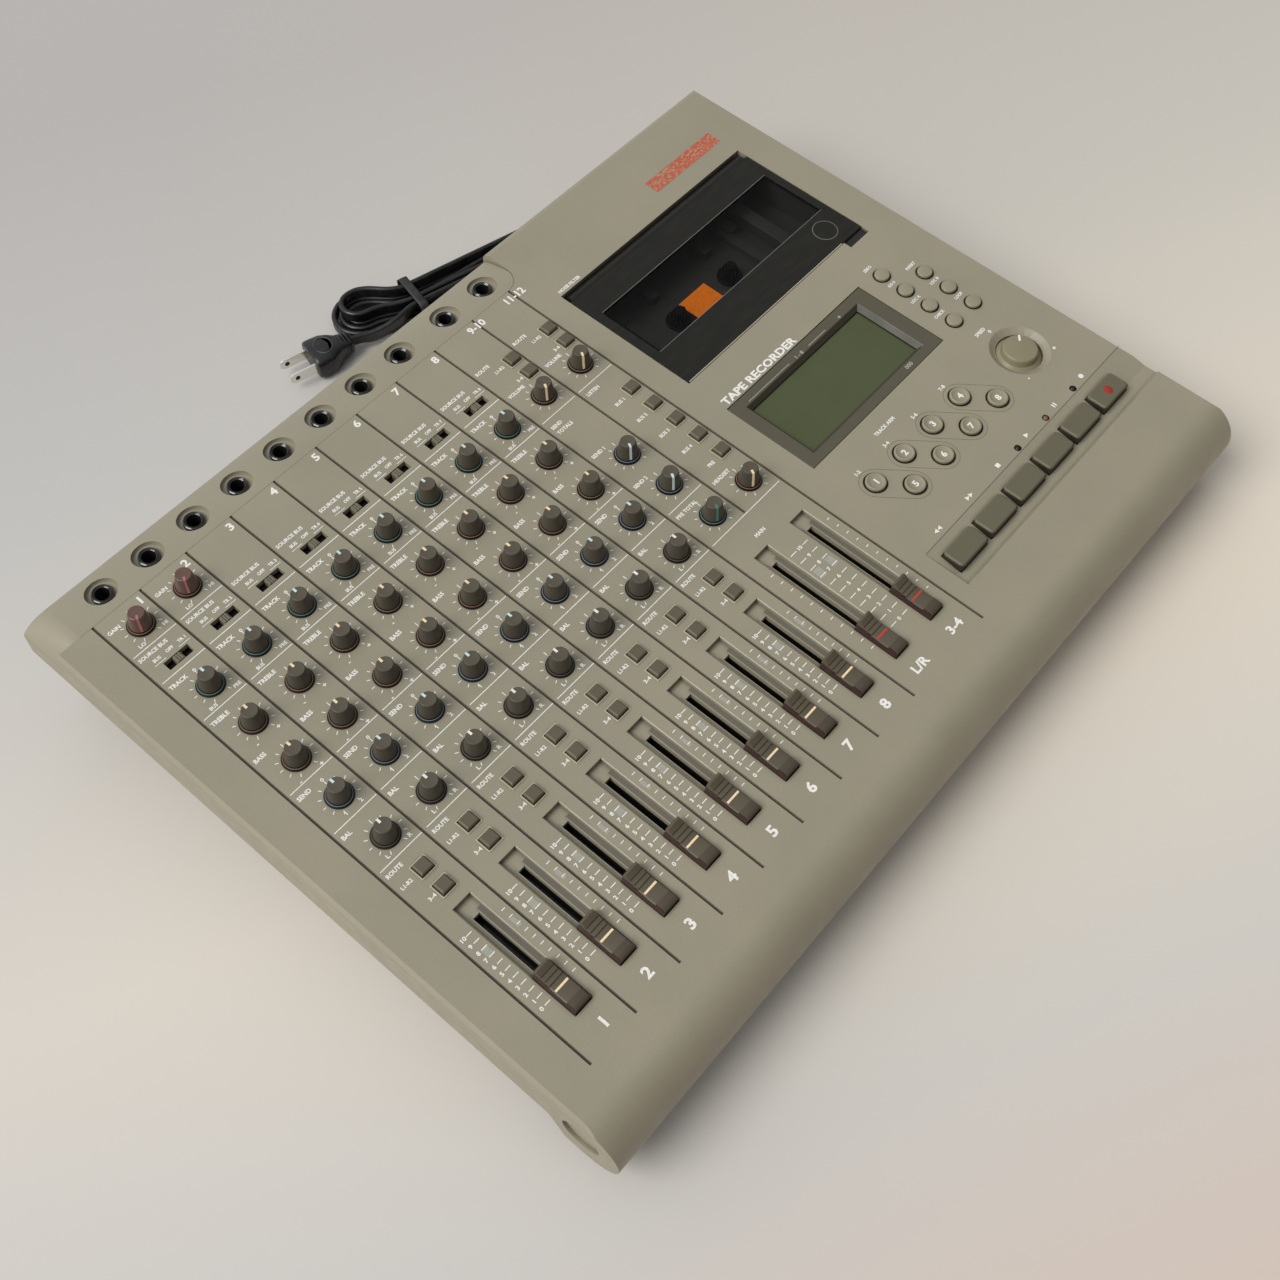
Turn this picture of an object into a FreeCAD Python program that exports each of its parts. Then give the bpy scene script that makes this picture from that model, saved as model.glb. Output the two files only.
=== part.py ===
"""Eight-channel cassette recorder and mixer, in millimetres.

Row frame: X to the right, Y to the rear, Z up, table at Z = 0, origin under the middle of the body.
Panel frame: the control panel's own plane, tilted back by panel_slope. u runs to the right from the
body's middle line, v runs to the rear from the rear ends of the channel grooves, and w stands out of
the panel. Everything on the panel is drawn in the panel frame and then tilted into the row frame.
"""
import FreeCAD
import Part
import math
import os

Vector = FreeCAD.Vector

# Case
case_width = 473.0
case_front = -326.7          # v of the front roll's nose
case_rear = 28.3             # v of the rear wall
panel_slope = 4.0            # degrees
front_height = 50.0          # panel height above the table at the front
skin = 3.0                   # panel and side wall
side_depth = 27.0            # depth of the upper case's side walls
front_roll = 20.0            # radius of the rounded front edge
roll_return = 8.0            # flat under the roll, from its axis to the lip
side_chamfer = 1.6
rear_round = 4.5
end_recess = 19.0            # diameter of the round recess at each end of the front roll
end_recess_depth = 1.6
tray_wall = 2.5
tray_taper = 14.0            # how far each side of the lower case leans in at the rear
tray_front = -290.0          # v of the lower case's front at the seam
tray_front_lean = 11.0
foot_height = 6.0
foot_radius = 9.0
foot_inset = 34.0
gap = 0.3                    # clearance between parts that must not touch

# Channel strips
strip_count = 8
deck_zone = 203.0            # width of the tape deck's side and the left margin together
left_margin = 20.0           # from the left wall to the first groove
strip_pitch = (case_width - deck_zone) / (strip_count + 2)
first_groove = left_margin - case_width / 2
groove_width = 1.3
groove_depth = 0.8
groove_front = -294.5
short_groove_front = -177.0
knob_offset = strip_pitch / 2 + 2.0   # from a groove to the knob column on its right
trim_row = -14.6
switch_row = -39.5
tape_row = -60.3
high_row = -87.5
low_row = -114.1
send_row = -140.1
pan_row = -167.4
assign_rows = (-189.0, -201.0)

# Master section
master_knob_offset = strip_pitch / 2 + 2.3
level_row = -59.4
master_effect_rows = (-113.4, -139.9)
phones_row = -166.6
master_assign_offset = strip_pitch - 5.1
master_assign_rows = (-32.4, -44.0)
group_offset = strip_pitch - 5.9
group_first_row = -88.3
group_pitch = 14.3
group_count = 5

# Rotary knobs
knob_base_r = 6.5
knob_top_r = 4.05
knob_height = 10.2
knob_lift = 0.4              # air under the skirt
line_width = 1.0
line_proud = 0.25
shaft_r = 3.0
shaft_bottom = -6.0
shaft_sides = 4
turned_sides = 12            # flats on the small repeated round parts
socket_sides = 8
button_sides = 10
bearing_sides = 16
fine_sides = 24
shaft_clearance = 0.5
pot_size = 10.5
pot_top_gap = 0.35

# Square buttons
square_button = (6.8, 6.3)
square_proud = 2.2
square_chamfer = 0.5

# Slide switches
switch_slot = (13.6, 4.9)
nub_width = 4.4
nub_proud = 0.6

# Faders
fader_offset = strip_pitch / 2 + 1.8
master_fader_offset = strip_pitch / 2 + 1.3
fader_zero = -265.5
fader_travel = 42.6
master_travel = 57.2
cap_length = 23.0
cap_width = 10.2
cap_top_width = 7.9
cap_height = 6.0
recess_depth = 3.0
recess_floor = 2.5
recess_side = 0.3
recess_end = 0.6
slot_width = 3.7
lever_thick = 1.2
lever_length = 5.0
track_depth = 8.4
track_wall = 1.6

# Jack strip on the left of the rear edge
strip_left = first_groove - 6.8   # u of the seam beside the left end cap
strip_right = first_groove + (strip_count + 2) * strip_pitch + 10.8
strip_corner = 11.0
strip_drop = 13.5            # fall of the strip from the panel to the rear wall
strip_skin = 3.0
jack_offset = strip_pitch / 2 + 1.9
extra_jacks = (strip_pitch / 2 + 7.3, strip_pitch * 1.5 + 7.7)   # the two jacks right of the last channel, from its groove
jack_row = 13.2
jack_pocket_r = 8.1
jack_floor = -7.0
jack_bush_r = 4.7
jack_bore_r = 3.25
jack_nut_r = 5.25
jack_nut_h = 2.2
jack_nut_hole = 3.7
jack_body = 13.0
jack_length = 20.0

# Cassette compartment
door_width = 144.9
door_length = 84.7
door_rear = -22.7            # v of the door's hinge edge
door_middle = case_width / 2 - 94.9   # u of the door's middle
door_thick = 2.4
door_drop = 0.3
hinge_depth = 4.0            # pin axis below the door's top, and its distance from the hinge edge
hinge_pin_r = 1.25
pin_clearance = 0.05
pin_cap = 0.8                # wall left outside each pin
pin_end_gap = 0.2
arm_width = 6.0
arm_r = 3.0
well_ledge = 1.9
well_wall = 3.6
hinge_pin_length = gap + well_wall - pin_cap - pin_end_gap
hinge_notch = 6.0             # length of the step in the lid's ends, beside the well's walls
well_floor = -21.0
well_floor_thick = 2.0
finger_notch = (16.0, 5.0)
spindle_spacing = 42.5
spindle_middle = door_middle - 8.4
spindle_row = -67.0
spindle_hub_r = 4.2
spindle_base_r = 7.0
spindle_tip = -11.0
spindle_shaft_r = 2.5
bearing_clearance = 0.05
spline_count = 6
label_size = (21.0, 16.5)
label_row = -68.5
label_shift = -3.4            # the label's middle, from the middle of the spindles
cassette = (100.4, 63.8)
head_row = door_rear - door_length + 6.4
head_plate = (66.0, 9.0, 3.0)
head_size = (14.0, 9.0, 10.0)
roller_r = 4.5
roller_height = 8.0
capstan_r = 1.2
capstan_height = 12.0
capstan_step = (5.5, 7.2)     # from each roller, inwards and rearwards
capstan_spread = 26.0

# Display
bezel_size = (108.8, 53.5)
bezel_middle = (door_middle - 18.1, -158.8)
bezel_thick = 3.6
bezel_drop = 0.2
window_size = (87.2, 37.4)
window_middle = (door_middle - 18.9, -159.1)
window_bevel = 2.4

# Round buttons
small_button_r = 4.05
small_button_u = (door_middle + 51.0, door_middle + 68.1)
small_first_row = -136.4
small_pitch = 15.35
record_button_r = 5.2
record_button_first = (door_middle - 59.7, -213.0)
record_button_pitch = 23.7
record_second_row = (12.0, -14.8)
round_proud = 1.6
dish_sink = 0.5
round_hole_gap = 0.3

# Pitch control
pitch_place = (door_middle + 57.5, -218.7)
dish_r = 15.9
dish_inner_r = 12.6
dish_depth = 2.4
pitch_knob_r = 9.2
pitch_skirt_r = 12.0
pitch_knob_top = 1.8
pitch_well_depth = 7.0

# Transport keys
key_first_u = door_middle - 61.5
key_pitch = 25.1
key_row = -266.5
key_size = (21.6, 11.7)
key_corner = 1.8
key_rim = 0.6
key_proud = 2.4
key_sink = 0.6
key_names = ("rewind", "forward", "stop", "play", "pause", "record")
trough_left = door_middle - 77.6
trough_rear = -254.6
trough_floor_rear = -271.0
trough_front = -277.6
trough_step = 1.8
trough_depth = 3.0
lamp_row = -252.5
lamp_r = 1.5
lamp_offset = 9.6            # from a key's middle to its lamp on the left
lamp_proud = 0.5

# Boards and drive
board_top = -14.0
board_thick = 1.6
button_bottom = -6.0
key_stem_bottom = -12.4
motor_r = 16.0
motor_height = 22.0
motor_step = (-54.0, 12.0)    # from the middle of the spindles
flywheel_r = capstan_spread - capstan_step[0] - gap
flywheel_thick = 8.0
flywheel_drop = 4.6           # clear of the spindle shafts
transformer_size = (52.0, 44.0, 40.0)

# Rear wall
rear_plate = (150.0, 27.0)
rear_plate_middle = (-100.0, 28.0)
rear_plate_thick = 1.6
socket_pitch = 27.0
socket_rows = 2
socket_columns = 4
socket_row_gap = 13.0
socket_r = 4.15
socket_flange_r = 5.6
socket_length = 9.0
rocker_size = (10.0, 15.0)
rocker_place = (150.0, 28.0)
rocker_r = 9.0
rocker_depth = 6.0
rocker_tilt = 8.0            # degrees, either way from upright

# Mains cord
cord_width = 6.5
cord_thick = 3.3
relief_place = (case_width / 2 - 22.5, 26.0)
relief_length = 9.0
relief_flange = 2.0
hank_heading = -15.0         # degrees, from the left loops to the right ones
hank_left = (relief_place[0] - 182.6, 237.5)   # middle of the left loops
hank_length = 115.0
hank_waist = 29.0
hank_inner = 2.4             # from the middle to the innermost strand at the waist
strand_step = 4.2
layer_step = 7.1
hank_floor = 1.2             # the tie passes under the strands
near_flare = 6.0             # how far the strands swing aside at the left loops
far_flare = 13.6
tie_width = 5.0
tie_thick = 0.7
plug_length = 25.0
plug_width = 23.0
plug_neck = 12.0
plug_chamfer = 2.5
plug_rear = -16.0            # the plug's cord end and its offset, in the hank's own frame
plug_aside = -8.0
plug_thick = 15.0
blade_length = 16.0
blade_width = 6.3
blade_thick = 1.5
blade_spacing = 12.7

slope = math.radians(panel_slope)
height_zero = front_height - case_front * math.sin(slope)
roll_axis = (case_front + front_roll, -front_roll)


def untilted_y(v, w):
    return v * math.cos(slope) - w * math.sin(slope)


rear_wall_raw = untilted_y(case_rear, -side_depth)
nose_raw = untilted_y(*roll_axis) - front_roll
origin_shift = -(nose_raw + rear_wall_raw + socket_length) / 2
rear_wall = rear_wall_raw + origin_shift


def row_y(v, w):
    return untilted_y(v, w) + origin_shift


def row_z(v, w):
    return height_zero + v * math.sin(slope) + w * math.cos(slope)


def tilt(shape):
    """Move a shape from the panel frame into the row frame."""
    moved = shape.copy()
    moved.rotate(Vector(0, 0, 0), Vector(1, 0, 0), panel_slope)
    moved.translate(Vector(0, origin_shift, height_zero))
    return moved


def block(u0, u1, v0, v1, w0, w1):
    return Part.makeBox(u1 - u0, v1 - v0, w1 - w0, Vector(u0, v0, w0))


def centred_block(middle, size, w0, w1):
    u, v = middle
    return block(u - size[0] / 2, u + size[0] / 2, v - size[1] / 2, v + size[1] / 2, w0, w1)


def rod(middle, radius, w0, w1):
    return Part.makeCylinder(radius, w1 - w0, Vector(middle[0], middle[1], w0))


def ring(middle, radius, w, sides):
    """Corners of a regular polygon round an upright axis, closed on its first corner."""
    points = []
    for i in range(sides + 1):
        angle = 2 * math.pi * (i + 0.5) / sides
        points.append(Vector(middle[0] + radius * math.cos(angle), middle[1] + radius * math.sin(angle), w))
    return points


def stacked(loops):
    """A closed solid through closed loops of points, one above the other."""
    faces = [Part.Face(Part.makePolygon(loops[0])), Part.Face(Part.makePolygon(loops[-1]))]
    for low, high in zip(loops[:-1], loops[1:]):
        for i in range(len(low) - 1):
            corners = [low[i], low[i + 1], high[i + 1], high[i], low[i]]
            faces.append(Part.Face(Part.makePolygon(corners)))
    solid = Part.Solid(Part.Shell(faces))
    if solid.Volume < 0:
        solid.reverse()
    return solid


def turned(middle, rings, sides=turned_sides):
    """A turned part drawn with flats, from (radius, height) pairs read upwards."""
    return stacked([ring(middle, radius, w, sides) for radius, w in rings]).removeSplitter()


def many_sided(middle, radius, w0, w1, sides=shaft_sides):
    """An upright prism whose flats lie at the given radius."""
    corner = radius / math.cos(math.pi / sides)
    return turned(middle, [(corner, w0), (corner, w1)], sides)


def laid_rearwards(shape, place, y):
    """Turn a part drawn upright at the middle so that it points to the rear from (x, z)."""
    shape.rotate(Vector(0, 0, 0), Vector(1, 0, 0), -90)
    shape.translate(Vector(place[0], y, place[1]))
    return shape


def side_prism(points, u0, u1):
    """Extrude an outline drawn in the side view, as (v, w) pairs, from u0 to u1."""
    wire = Part.makePolygon([Vector(u0, v, w) for v, w in points + points[:1]])
    return Part.Face(wire).extrude(Vector(u1 - u0, 0, 0))


def front_prism(points, v0, v1):
    """Extrude an outline drawn in the front view, as (u, w) pairs, from v0 to v1."""
    wire = Part.makePolygon([Vector(u, v0, w) for u, w in points + points[:1]])
    return Part.Face(wire).extrude(Vector(0, v1 - v0, 0))


def soft_plan(middle, size, radius, w):
    """A rectangle with its corners rounded in two flats each."""
    points = []
    for turn, (sx, sy) in enumerate(((1, 1), (-1, 1), (-1, -1), (1, -1))):
        cx = middle[0] + sx * (size[0] / 2 - radius)
        cy = middle[1] + sy * (size[1] / 2 - radius)
        for step in range(3):
            angle = math.pi / 2 * turn + math.pi / 4 * step
            points.append(Vector(cx + radius * math.cos(angle), cy + radius * math.sin(angle), w))
    return points + points[:1]


def soft_block(middle, size, radius, w0, w1, rim):
    """A block with rounded corners and a bevelled top rim."""
    inner = (size[0] - 2 * rim, size[1] - 2 * rim)
    loops = [soft_plan(middle, size, radius, w0), soft_plan(middle, size, radius, w1 - rim),
             soft_plan(middle, inner, radius - rim, w1)]
    return stacked(loops)


def joined(shapes):
    solid = shapes[0]
    if len(shapes) > 1:
        solid = shapes[0].multiFuse(shapes[1:])
    return solid.removeSplitter()


def cut_all(shape, tools):
    return shape.cut(Part.makeCompound(tools)) if tools else shape


def groove_u(index):
    return first_groove + index * strip_pitch


def channel_knob_places(row):
    return [(groove_u(i) + knob_offset, row) for i in range(strip_count)]


def fader_places():
    """Middle of each fader's slot in u, its travel, for the channels and then the two masters."""
    places = [(groove_u(i) + fader_offset, fader_travel) for i in range(strip_count)]
    masters = [(groove_u(strip_count + i) + master_fader_offset, master_travel) for i in range(2)]
    return places + masters


def master_knobs():
    """Name and place of each single knob of the master section."""
    first = groove_u(strip_count) + master_knob_offset
    second = groove_u(strip_count + 1) + master_knob_offset
    return {
        "level_knob_left": (first, level_row),
        "level_knob_right": (second, level_row),
        "effect_knob_1": (first, master_effect_rows[0]),
        "effect_knob_2": (first, master_effect_rows[1]),
        "cue_master_knob": (first, phones_row),
        "phones_knob": (second, phones_row),
    }


def first_strip_knobs():
    """Name and place of the knobs of the first channel."""
    u = groove_u(0) + knob_offset
    rows = {"tape": tape_row, "high": high_row, "low": low_row, "send": send_row, "pan": pan_row}
    return {name + "_knob_1": (u, row) for name, row in rows.items()}


def trim_knobs():
    return {"trim_knob_%d" % (i + 1): (groove_u(i) + knob_offset, trim_row) for i in range(2)}


def other_knob_places():
    rows = (tape_row, high_row, low_row, send_row, pan_row)
    return [place for row in rows for place in channel_knob_places(row)[1:]]


def all_knob_places():
    named = {**master_knobs(), **first_strip_knobs(), **trim_knobs()}
    return list(named.values()) + other_knob_places()


def square_button_places():
    places = [(groove_u(i) + knob_offset, row) for i in range(strip_count) for row in assign_rows]
    for column in range(2):
        u = groove_u(strip_count + column) + master_assign_offset
        places += [(u, row) for row in master_assign_rows]
    u = groove_u(strip_count + 1) + group_offset
    places += [(u, group_first_row - i * group_pitch) for i in range(group_count)]
    return places


def small_button_places():
    places = [(small_button_u[0], small_first_row - i * small_pitch) for i in range(4)]
    return places + [(small_button_u[1], small_first_row - i * small_pitch) for i in range(1, 4)]


def record_button_places():
    u, v = record_button_first
    first = [(u + i * record_button_pitch, v) for i in range(4)]
    return first + [(x + record_second_row[0], y + record_second_row[1]) for x, y in first]


def key_places():
    return [(key_first_u + i * key_pitch, key_row) for i in range(len(key_names))]


def lamp_places():
    return [(u - lamp_offset, lamp_row) for u, v in key_places()[3:]]


def jack_places():
    places = [(groove_u(i) + jack_offset, jack_row) for i in range(strip_count)]
    return places + [(groove_u(strip_count) + extra, jack_row) for extra in extra_jacks]


def strip_height(v):
    return -strip_drop * v / case_rear


def strip_plan(inset, w0, w1, rear):
    """Plan of the jack strip: a rectangle with its front right corner rounded."""
    left, right, front = strip_left + inset, strip_right - inset, inset
    r = strip_corner
    mid = r * (1 - math.sqrt(0.5))
    arc = Part.Arc(Vector(right - r, front, w0), Vector(right - mid, front + mid, w0), Vector(right, front + r, w0))
    edges = [
        Part.makeLine(Vector(left, front, w0), Vector(right - r, front, w0)),
        arc.toShape(),
        Part.makeLine(Vector(right, front + r, w0), Vector(right, rear, w0)),
        Part.makeLine(Vector(right, rear, w0), Vector(left, rear, w0)),
        Part.makeLine(Vector(left, rear, w0), Vector(left, front, w0)),
    ]
    return Part.Face(Part.Wire(edges)).extrude(Vector(0, 0, w1 - w0))


def case_outline(inset, bottom):
    """Side view of the upper case: flat panel, rounded front, returned to the given depth."""
    r = front_roll - inset
    top_v, axis_w = roll_axis
    x0 = -case_width / 2 + inset
    lip = tray_front + inset
    under = -2 * front_roll + inset
    slant = inset / 2            # shift of the slanting lip's foot, for an even wall
    nose = Part.Arc(
        Vector(x0, top_v, axis_w - r), Vector(x0, top_v - r, axis_w), Vector(x0, top_v, axis_w + r)
    ).toShape()
    rear = case_rear - inset
    corners = [(top_v, -inset), (rear, -inset), (rear, bottom), (lip, bottom)]
    if inset:
        corners += [(lip, inset - side_depth), (lip - 3 * slant, inset - side_depth)]
    corners += [(top_v + roll_return - slant, under), (top_v, under)]
    lines = [
        Part.makeLine(Vector(x0, *a), Vector(x0, *b)) for a, b in zip(corners[:-1], corners[1:])
    ]
    wire = Part.Wire([nose] + lines)
    return Part.Face(wire).extrude(Vector(case_width - 2 * inset, 0, 0))


def left_end_cap():
    """The case beside the jack strip: it follows the strip's fall and rolls down to the side wall."""
    radius = strip_left + case_width / 2
    fall = math.atan2(strip_drop, case_rear)
    axis = Vector(0, math.cos(fall), -math.sin(fall))
    start = Vector(strip_left, -radius, -radius / math.cos(fall) + math.tan(fall) * radius)
    roll = Part.makeCylinder(radius, case_rear * 3, start, axis)
    low = block(-case_width / 2, strip_left, 0, case_rear, -side_depth, -radius)
    top = block(-case_width / 2, strip_left, 0, case_rear, -side_depth, 0).common(roll)
    return joined([low, top])


def trough():
    """The shallow channel in front of the keys: a long ramp, a flat floor and a short step up."""
    right = case_width / 2 + 1
    v0, v1, v2, v3 = trough_rear, trough_floor_rear, trough_front, trough_front - trough_step
    ramp_mid = ((v0 + v1) / 2 - 2.0, -trough_depth * 0.6)
    ramp = Part.Arc(
        Vector(trough_left, v0, 0), Vector(trough_left, *ramp_mid), Vector(trough_left, v1, -trough_depth)
    ).toShape()
    corners = [(v1, -trough_depth), (v2, -trough_depth), (v3, 0), (v3, 5), (v0, 5), (v0, 0)]
    lines = [
        Part.makeLine(Vector(trough_left, *a), Vector(trough_left, *b)) for a, b in zip(corners[:-1], corners[1:])
    ]
    return Part.Face(Part.Wire([ramp] + lines)).extrude(Vector(right - trough_left, 0, 0))


def fader_recess_span(travel):
    """Front and rear ends in v of a fader's recess."""
    front = fader_zero - cap_length / 2 - recess_end
    rear = fader_zero + travel + cap_length / 2 + recess_end
    return front, rear


def panel_thickening():
    """Solid material under the panel where recesses are sunk into it."""
    parts = []
    for u, travel in fader_places():
        front, rear = fader_recess_span(travel)
        half = cap_width / 2 + recess_side + 2.0
        parts.append(block(u - half, u + half, front - 2, rear + 2, -recess_depth - recess_floor, -skin / 2))
    parts.append(block(trough_left - 3, case_width / 2 - skin / 2, trough_front - 5, trough_rear,
                       -trough_depth - skin, -skin / 2))
    parts.append(many_sided(pitch_place, dish_r + 2, -pitch_well_depth - 2.5, -skin / 2, turned_sides))
    return parts


def panel_openings():
    tools = [trough()]
    for i in range(strip_count + 3):
        u = groove_u(i)
        front = short_groove_front if i == strip_count + 1 else groove_front
        tools.append(block(u - groove_width / 2, u + groove_width / 2, front, 0, -groove_depth, 1))
    tools += [many_sided(p, shaft_r + shaft_clearance, -20, 1) for p in all_knob_places()]
    hole = (square_button[0] + 2 * gap, square_button[1] + 2 * gap)
    tools += [centred_block(p, hole, -20, 1) for p in square_button_places()]
    tools += [centred_block(p, switch_slot, -20, 1) for p in channel_knob_places(switch_row)]
    for places, radius in ((small_button_places(), small_button_r), (record_button_places(), record_button_r)):
        tools += [many_sided(p, radius + round_hole_gap, -20, 1, button_sides) for p in places]
    for u, travel in fader_places():
        front, rear = fader_recess_span(travel)
        half = cap_width / 2 + recess_side
        tools.append(block(u - half, u + half, front, rear, -recess_depth, 1))
        slot_front = fader_zero - lever_length / 2 - 1.5
        slot_rear = fader_zero + travel + lever_length / 2 + 1.5
        tools.append(block(u - slot_width / 2, u + slot_width / 2, slot_front, slot_rear, -20, 1))
    tools += [centred_block(p, (key_size[0] + 2 * gap, key_size[1] + 2 * gap), -20, 1) for p in key_places()]
    tools += [many_sided(p, lamp_r, -20, 1) for p in lamp_places()]
    door_middle_v = door_rear - door_length / 2
    tools.append(centred_block((door_middle, door_middle_v), (door_width + 2 * gap, door_length + 2 * gap), -20, 1))
    notch_u = door_middle + door_width / 2 - finger_notch[0]
    notch_v = door_rear - door_length
    tools.append(block(notch_u, notch_u + finger_notch[0], notch_v - finger_notch[1], notch_v, -1.8, 1))
    tools.append(centred_block(bezel_middle, (bezel_size[0] + 2 * gap, bezel_size[1] + 2 * gap), -20, 1))
    well_r = pitch_skirt_r + gap
    dish = [(well_r, -pitch_well_depth), (well_r, -dish_depth), (dish_inner_r, -dish_depth), (dish_r, 0), (dish_r, 1)]
    tools.append(turned(pitch_place, dish, fine_sides))
    tools.append(many_sided(pitch_place, shaft_r + shaft_clearance, -20, 0))
    return tools


def upper_case():
    outer = case_outline(0, -side_depth)
    rear_edges = [
        e for e in outer.Edges
        if len(e.Vertexes) == 2 and all(abs(p.Y - case_rear) < 0.01 and abs(p.Z) < 0.01 for p in e.Vertexes)
    ]
    outer = outer.makeFillet(rear_round, rear_edges)
    half, c = case_width / 2, side_chamfer
    envelope = [(-half, -case_width), (-half, -c), (c - half, 0), (half - c, 0), (half, -c), (half, -case_width)]
    outer = outer.common(front_prism(envelope, case_front - 5, case_rear + 5))
    strip_cut = strip_plan(0, -strip_drop - strip_skin, 10, case_rear + 10)
    cap_cut = block(-case_width / 2 - 5, strip_left, 0, case_rear + 10, -side_depth - 5, 10)
    shell = outer.cut(case_outline(skin, -2 * side_depth))
    shell = shell.cut(Part.makeCompound([strip_cut, cap_cut]))
    shell = joined([shell, left_end_cap()] + panel_thickening())
    curb = strip_plan(-skin, -strip_drop - strip_skin, -skin / 2, case_rear)
    curb = curb.cut(strip_plan(0, -60, 10, case_rear + 10)).common(outer)
    shell = joined([shell, curb])
    shell = cut_all(shell, panel_openings())
    recesses = []
    for side in (-1, 1):
        face = side * case_width / 2
        start = Vector(face - side * end_recess_depth, roll_axis[0], roll_axis[1])
        recesses.append(Part.makeCylinder(end_recess / 2, 10, start, Vector(side, 0, 0)))
    return cut_all(shell, recesses)


def input_panel():
    """The sloping strip that carries the input jacks, with a level pocket at each jack."""
    drop = strip_drop + strip_skin
    slab = side_prism([(0, 0), (case_rear, -strip_drop), (case_rear, -drop), (0, -strip_skin)], strip_left - 1,
                      strip_right + 1)
    under = jack_floor - strip_skin - 1
    boss = 2 * jack_pocket_r + 3
    bosses = [centred_block(p, (boss, boss), under, jack_floor) for p in jack_places()]
    solid = joined([slab] + bosses)
    solid = solid.common(strip_plan(0.1, -40, 5, case_rear))
    tools = [many_sided(p, jack_pocket_r, jack_floor, 5, turned_sides) for p in jack_places()]
    tools += [many_sided(p, jack_bush_r + gap, -40, 5, socket_sides) for p in jack_places()]
    room = jack_body + 2 * gap
    tools += [centred_block(p, (room, room), -40, under) for p in jack_places()]
    return cut_all(solid, tools)


def jack_socket(place):
    """One quarter-inch socket: a nut on the pocket's floor and a body below the strip."""
    under = jack_floor - strip_skin - 1
    nut = many_sided(place, jack_nut_r, jack_floor, jack_floor + jack_nut_h, socket_sides)
    bush = many_sided(place, jack_bush_r, under, jack_floor, socket_sides)
    body = centred_block(place, (jack_body, jack_body), under - jack_length, under)
    solid = joined([nut, bush, body])
    wide = many_sided(place, jack_nut_hole, under, jack_floor + jack_nut_h + 1, socket_sides)
    bore = rod(place, jack_bore_r, under - jack_length + 1.5, under)
    return cut_all(solid, [wide, bore])


def jack_sockets():
    return Part.makeCompound([jack_socket(p) for p in jack_places()])


def pointer_line(place, angle):
    """The raised line of a knob, from the middle of its top down one side."""
    inner = 0.8
    flat = math.cos(math.pi / turned_sides)
    top = knob_top_r * flat + line_proud
    points = [
        (inner, knob_height - 0.6), (inner, knob_height + line_proud), (top, knob_height + line_proud),
        (knob_base_r * flat + line_proud, knob_lift + 0.6), (knob_base_r * flat - 0.6, knob_lift + 0.6),
    ]
    rib = side_prism(points, -line_width / 2, line_width / 2)
    rib.rotate(Vector(0, 0, 0), Vector(0, 0, 1), angle)
    rib.translate(Vector(place[0], place[1], 0))
    return rib


def rotary_knob(place, angle=None):
    """A tapered knob on its shaft. angle turns the pointer anticlockwise from the rear."""
    taper = turned(place, [(knob_base_r, knob_lift), (knob_top_r, knob_height)])
    parts = [taper, turned(place, [(shaft_r, shaft_bottom), (shaft_r, knob_lift + 1)], shaft_sides)]
    if angle is not None:
        parts.append(pointer_line(place, angle))
    return joined(parts)


def channel_knobs():
    return Part.makeCompound([rotary_knob(p) for p in other_knob_places()])


def control_pots():
    """Rotary pots, fader tracks and lever switches on the mixer board, under the panel."""
    parts = []
    for place in all_knob_places():
        parts.append(centred_block(place, (pot_size, pot_size), board_top, shaft_bottom - pot_top_gap))
    for u, travel in fader_places():
        front, rear = fader_zero - 12, fader_zero + travel + 12
        top = -recess_depth - recess_floor
        half = slot_width / 2 + track_wall
        track = block(u - half, u + half, front, rear, board_top, top)
        channel = block(u - slot_width / 2, u + slot_width / 2, front + 3, rear - 3, board_top + 1.5, top + 1)
        parts.append(track.cut(channel))
    for place in channel_knob_places(switch_row):
        parts.append(centred_block(place, (switch_slot[0] + 2, switch_slot[1] + 1.5), board_top, -skin - 1.6))
    return Part.makeCompound(parts)


def assign_buttons():
    """Square push buttons of the channel strips and the group section."""
    parts = []
    for place in square_button_places():
        body = centred_block(place, square_button, button_bottom, square_proud)
        rim = [e for e in body.Edges if all(abs(p.Z - square_proud) < 0.01 for p in e.Vertexes)]
        parts.append(body.makeChamfer(square_chamfer, rim))
    return Part.makeCompound(parts)


def slide_nub(place):
    """A stepped thumb piece of a three-way slide switch, in its middle position."""
    half = nub_width / 2
    bottom = -skin - 1.2
    points = [(-half, bottom), (-half, nub_proud - 0.5), (-half / 3, nub_proud - 0.5), (-half / 3, nub_proud),
              (half / 3, nub_proud), (half / 3, nub_proud - 0.5), (half, nub_proud - 0.5), (half, bottom)]
    depth = switch_slot[1] - 2 * gap
    nub = front_prism(points, -depth / 2, depth / 2)
    nub.translate(Vector(place[0], place[1], 0))
    return nub


def slide_switches():
    return Part.makeCompound([slide_nub(p) for p in channel_knob_places(switch_row)])


def round_buttons():
    """Plain round buttons by the display, and the wider dished ones of the record section."""
    parts = []
    for place in small_button_places():
        parts.append(turned(place, [(small_button_r, button_bottom), (small_button_r, round_proud)], button_sides))
    for place in record_button_places():
        r = record_button_r
        body = turned(place, [(r, button_bottom), (r, round_proud)], button_sides)
        dish = turned(place, [(r - 1.8, round_proud - dish_sink), (r - 0.9, round_proud)], button_sides)
        parts.append(body.cut(dish))
    return Part.makeCompound(parts)


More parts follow.
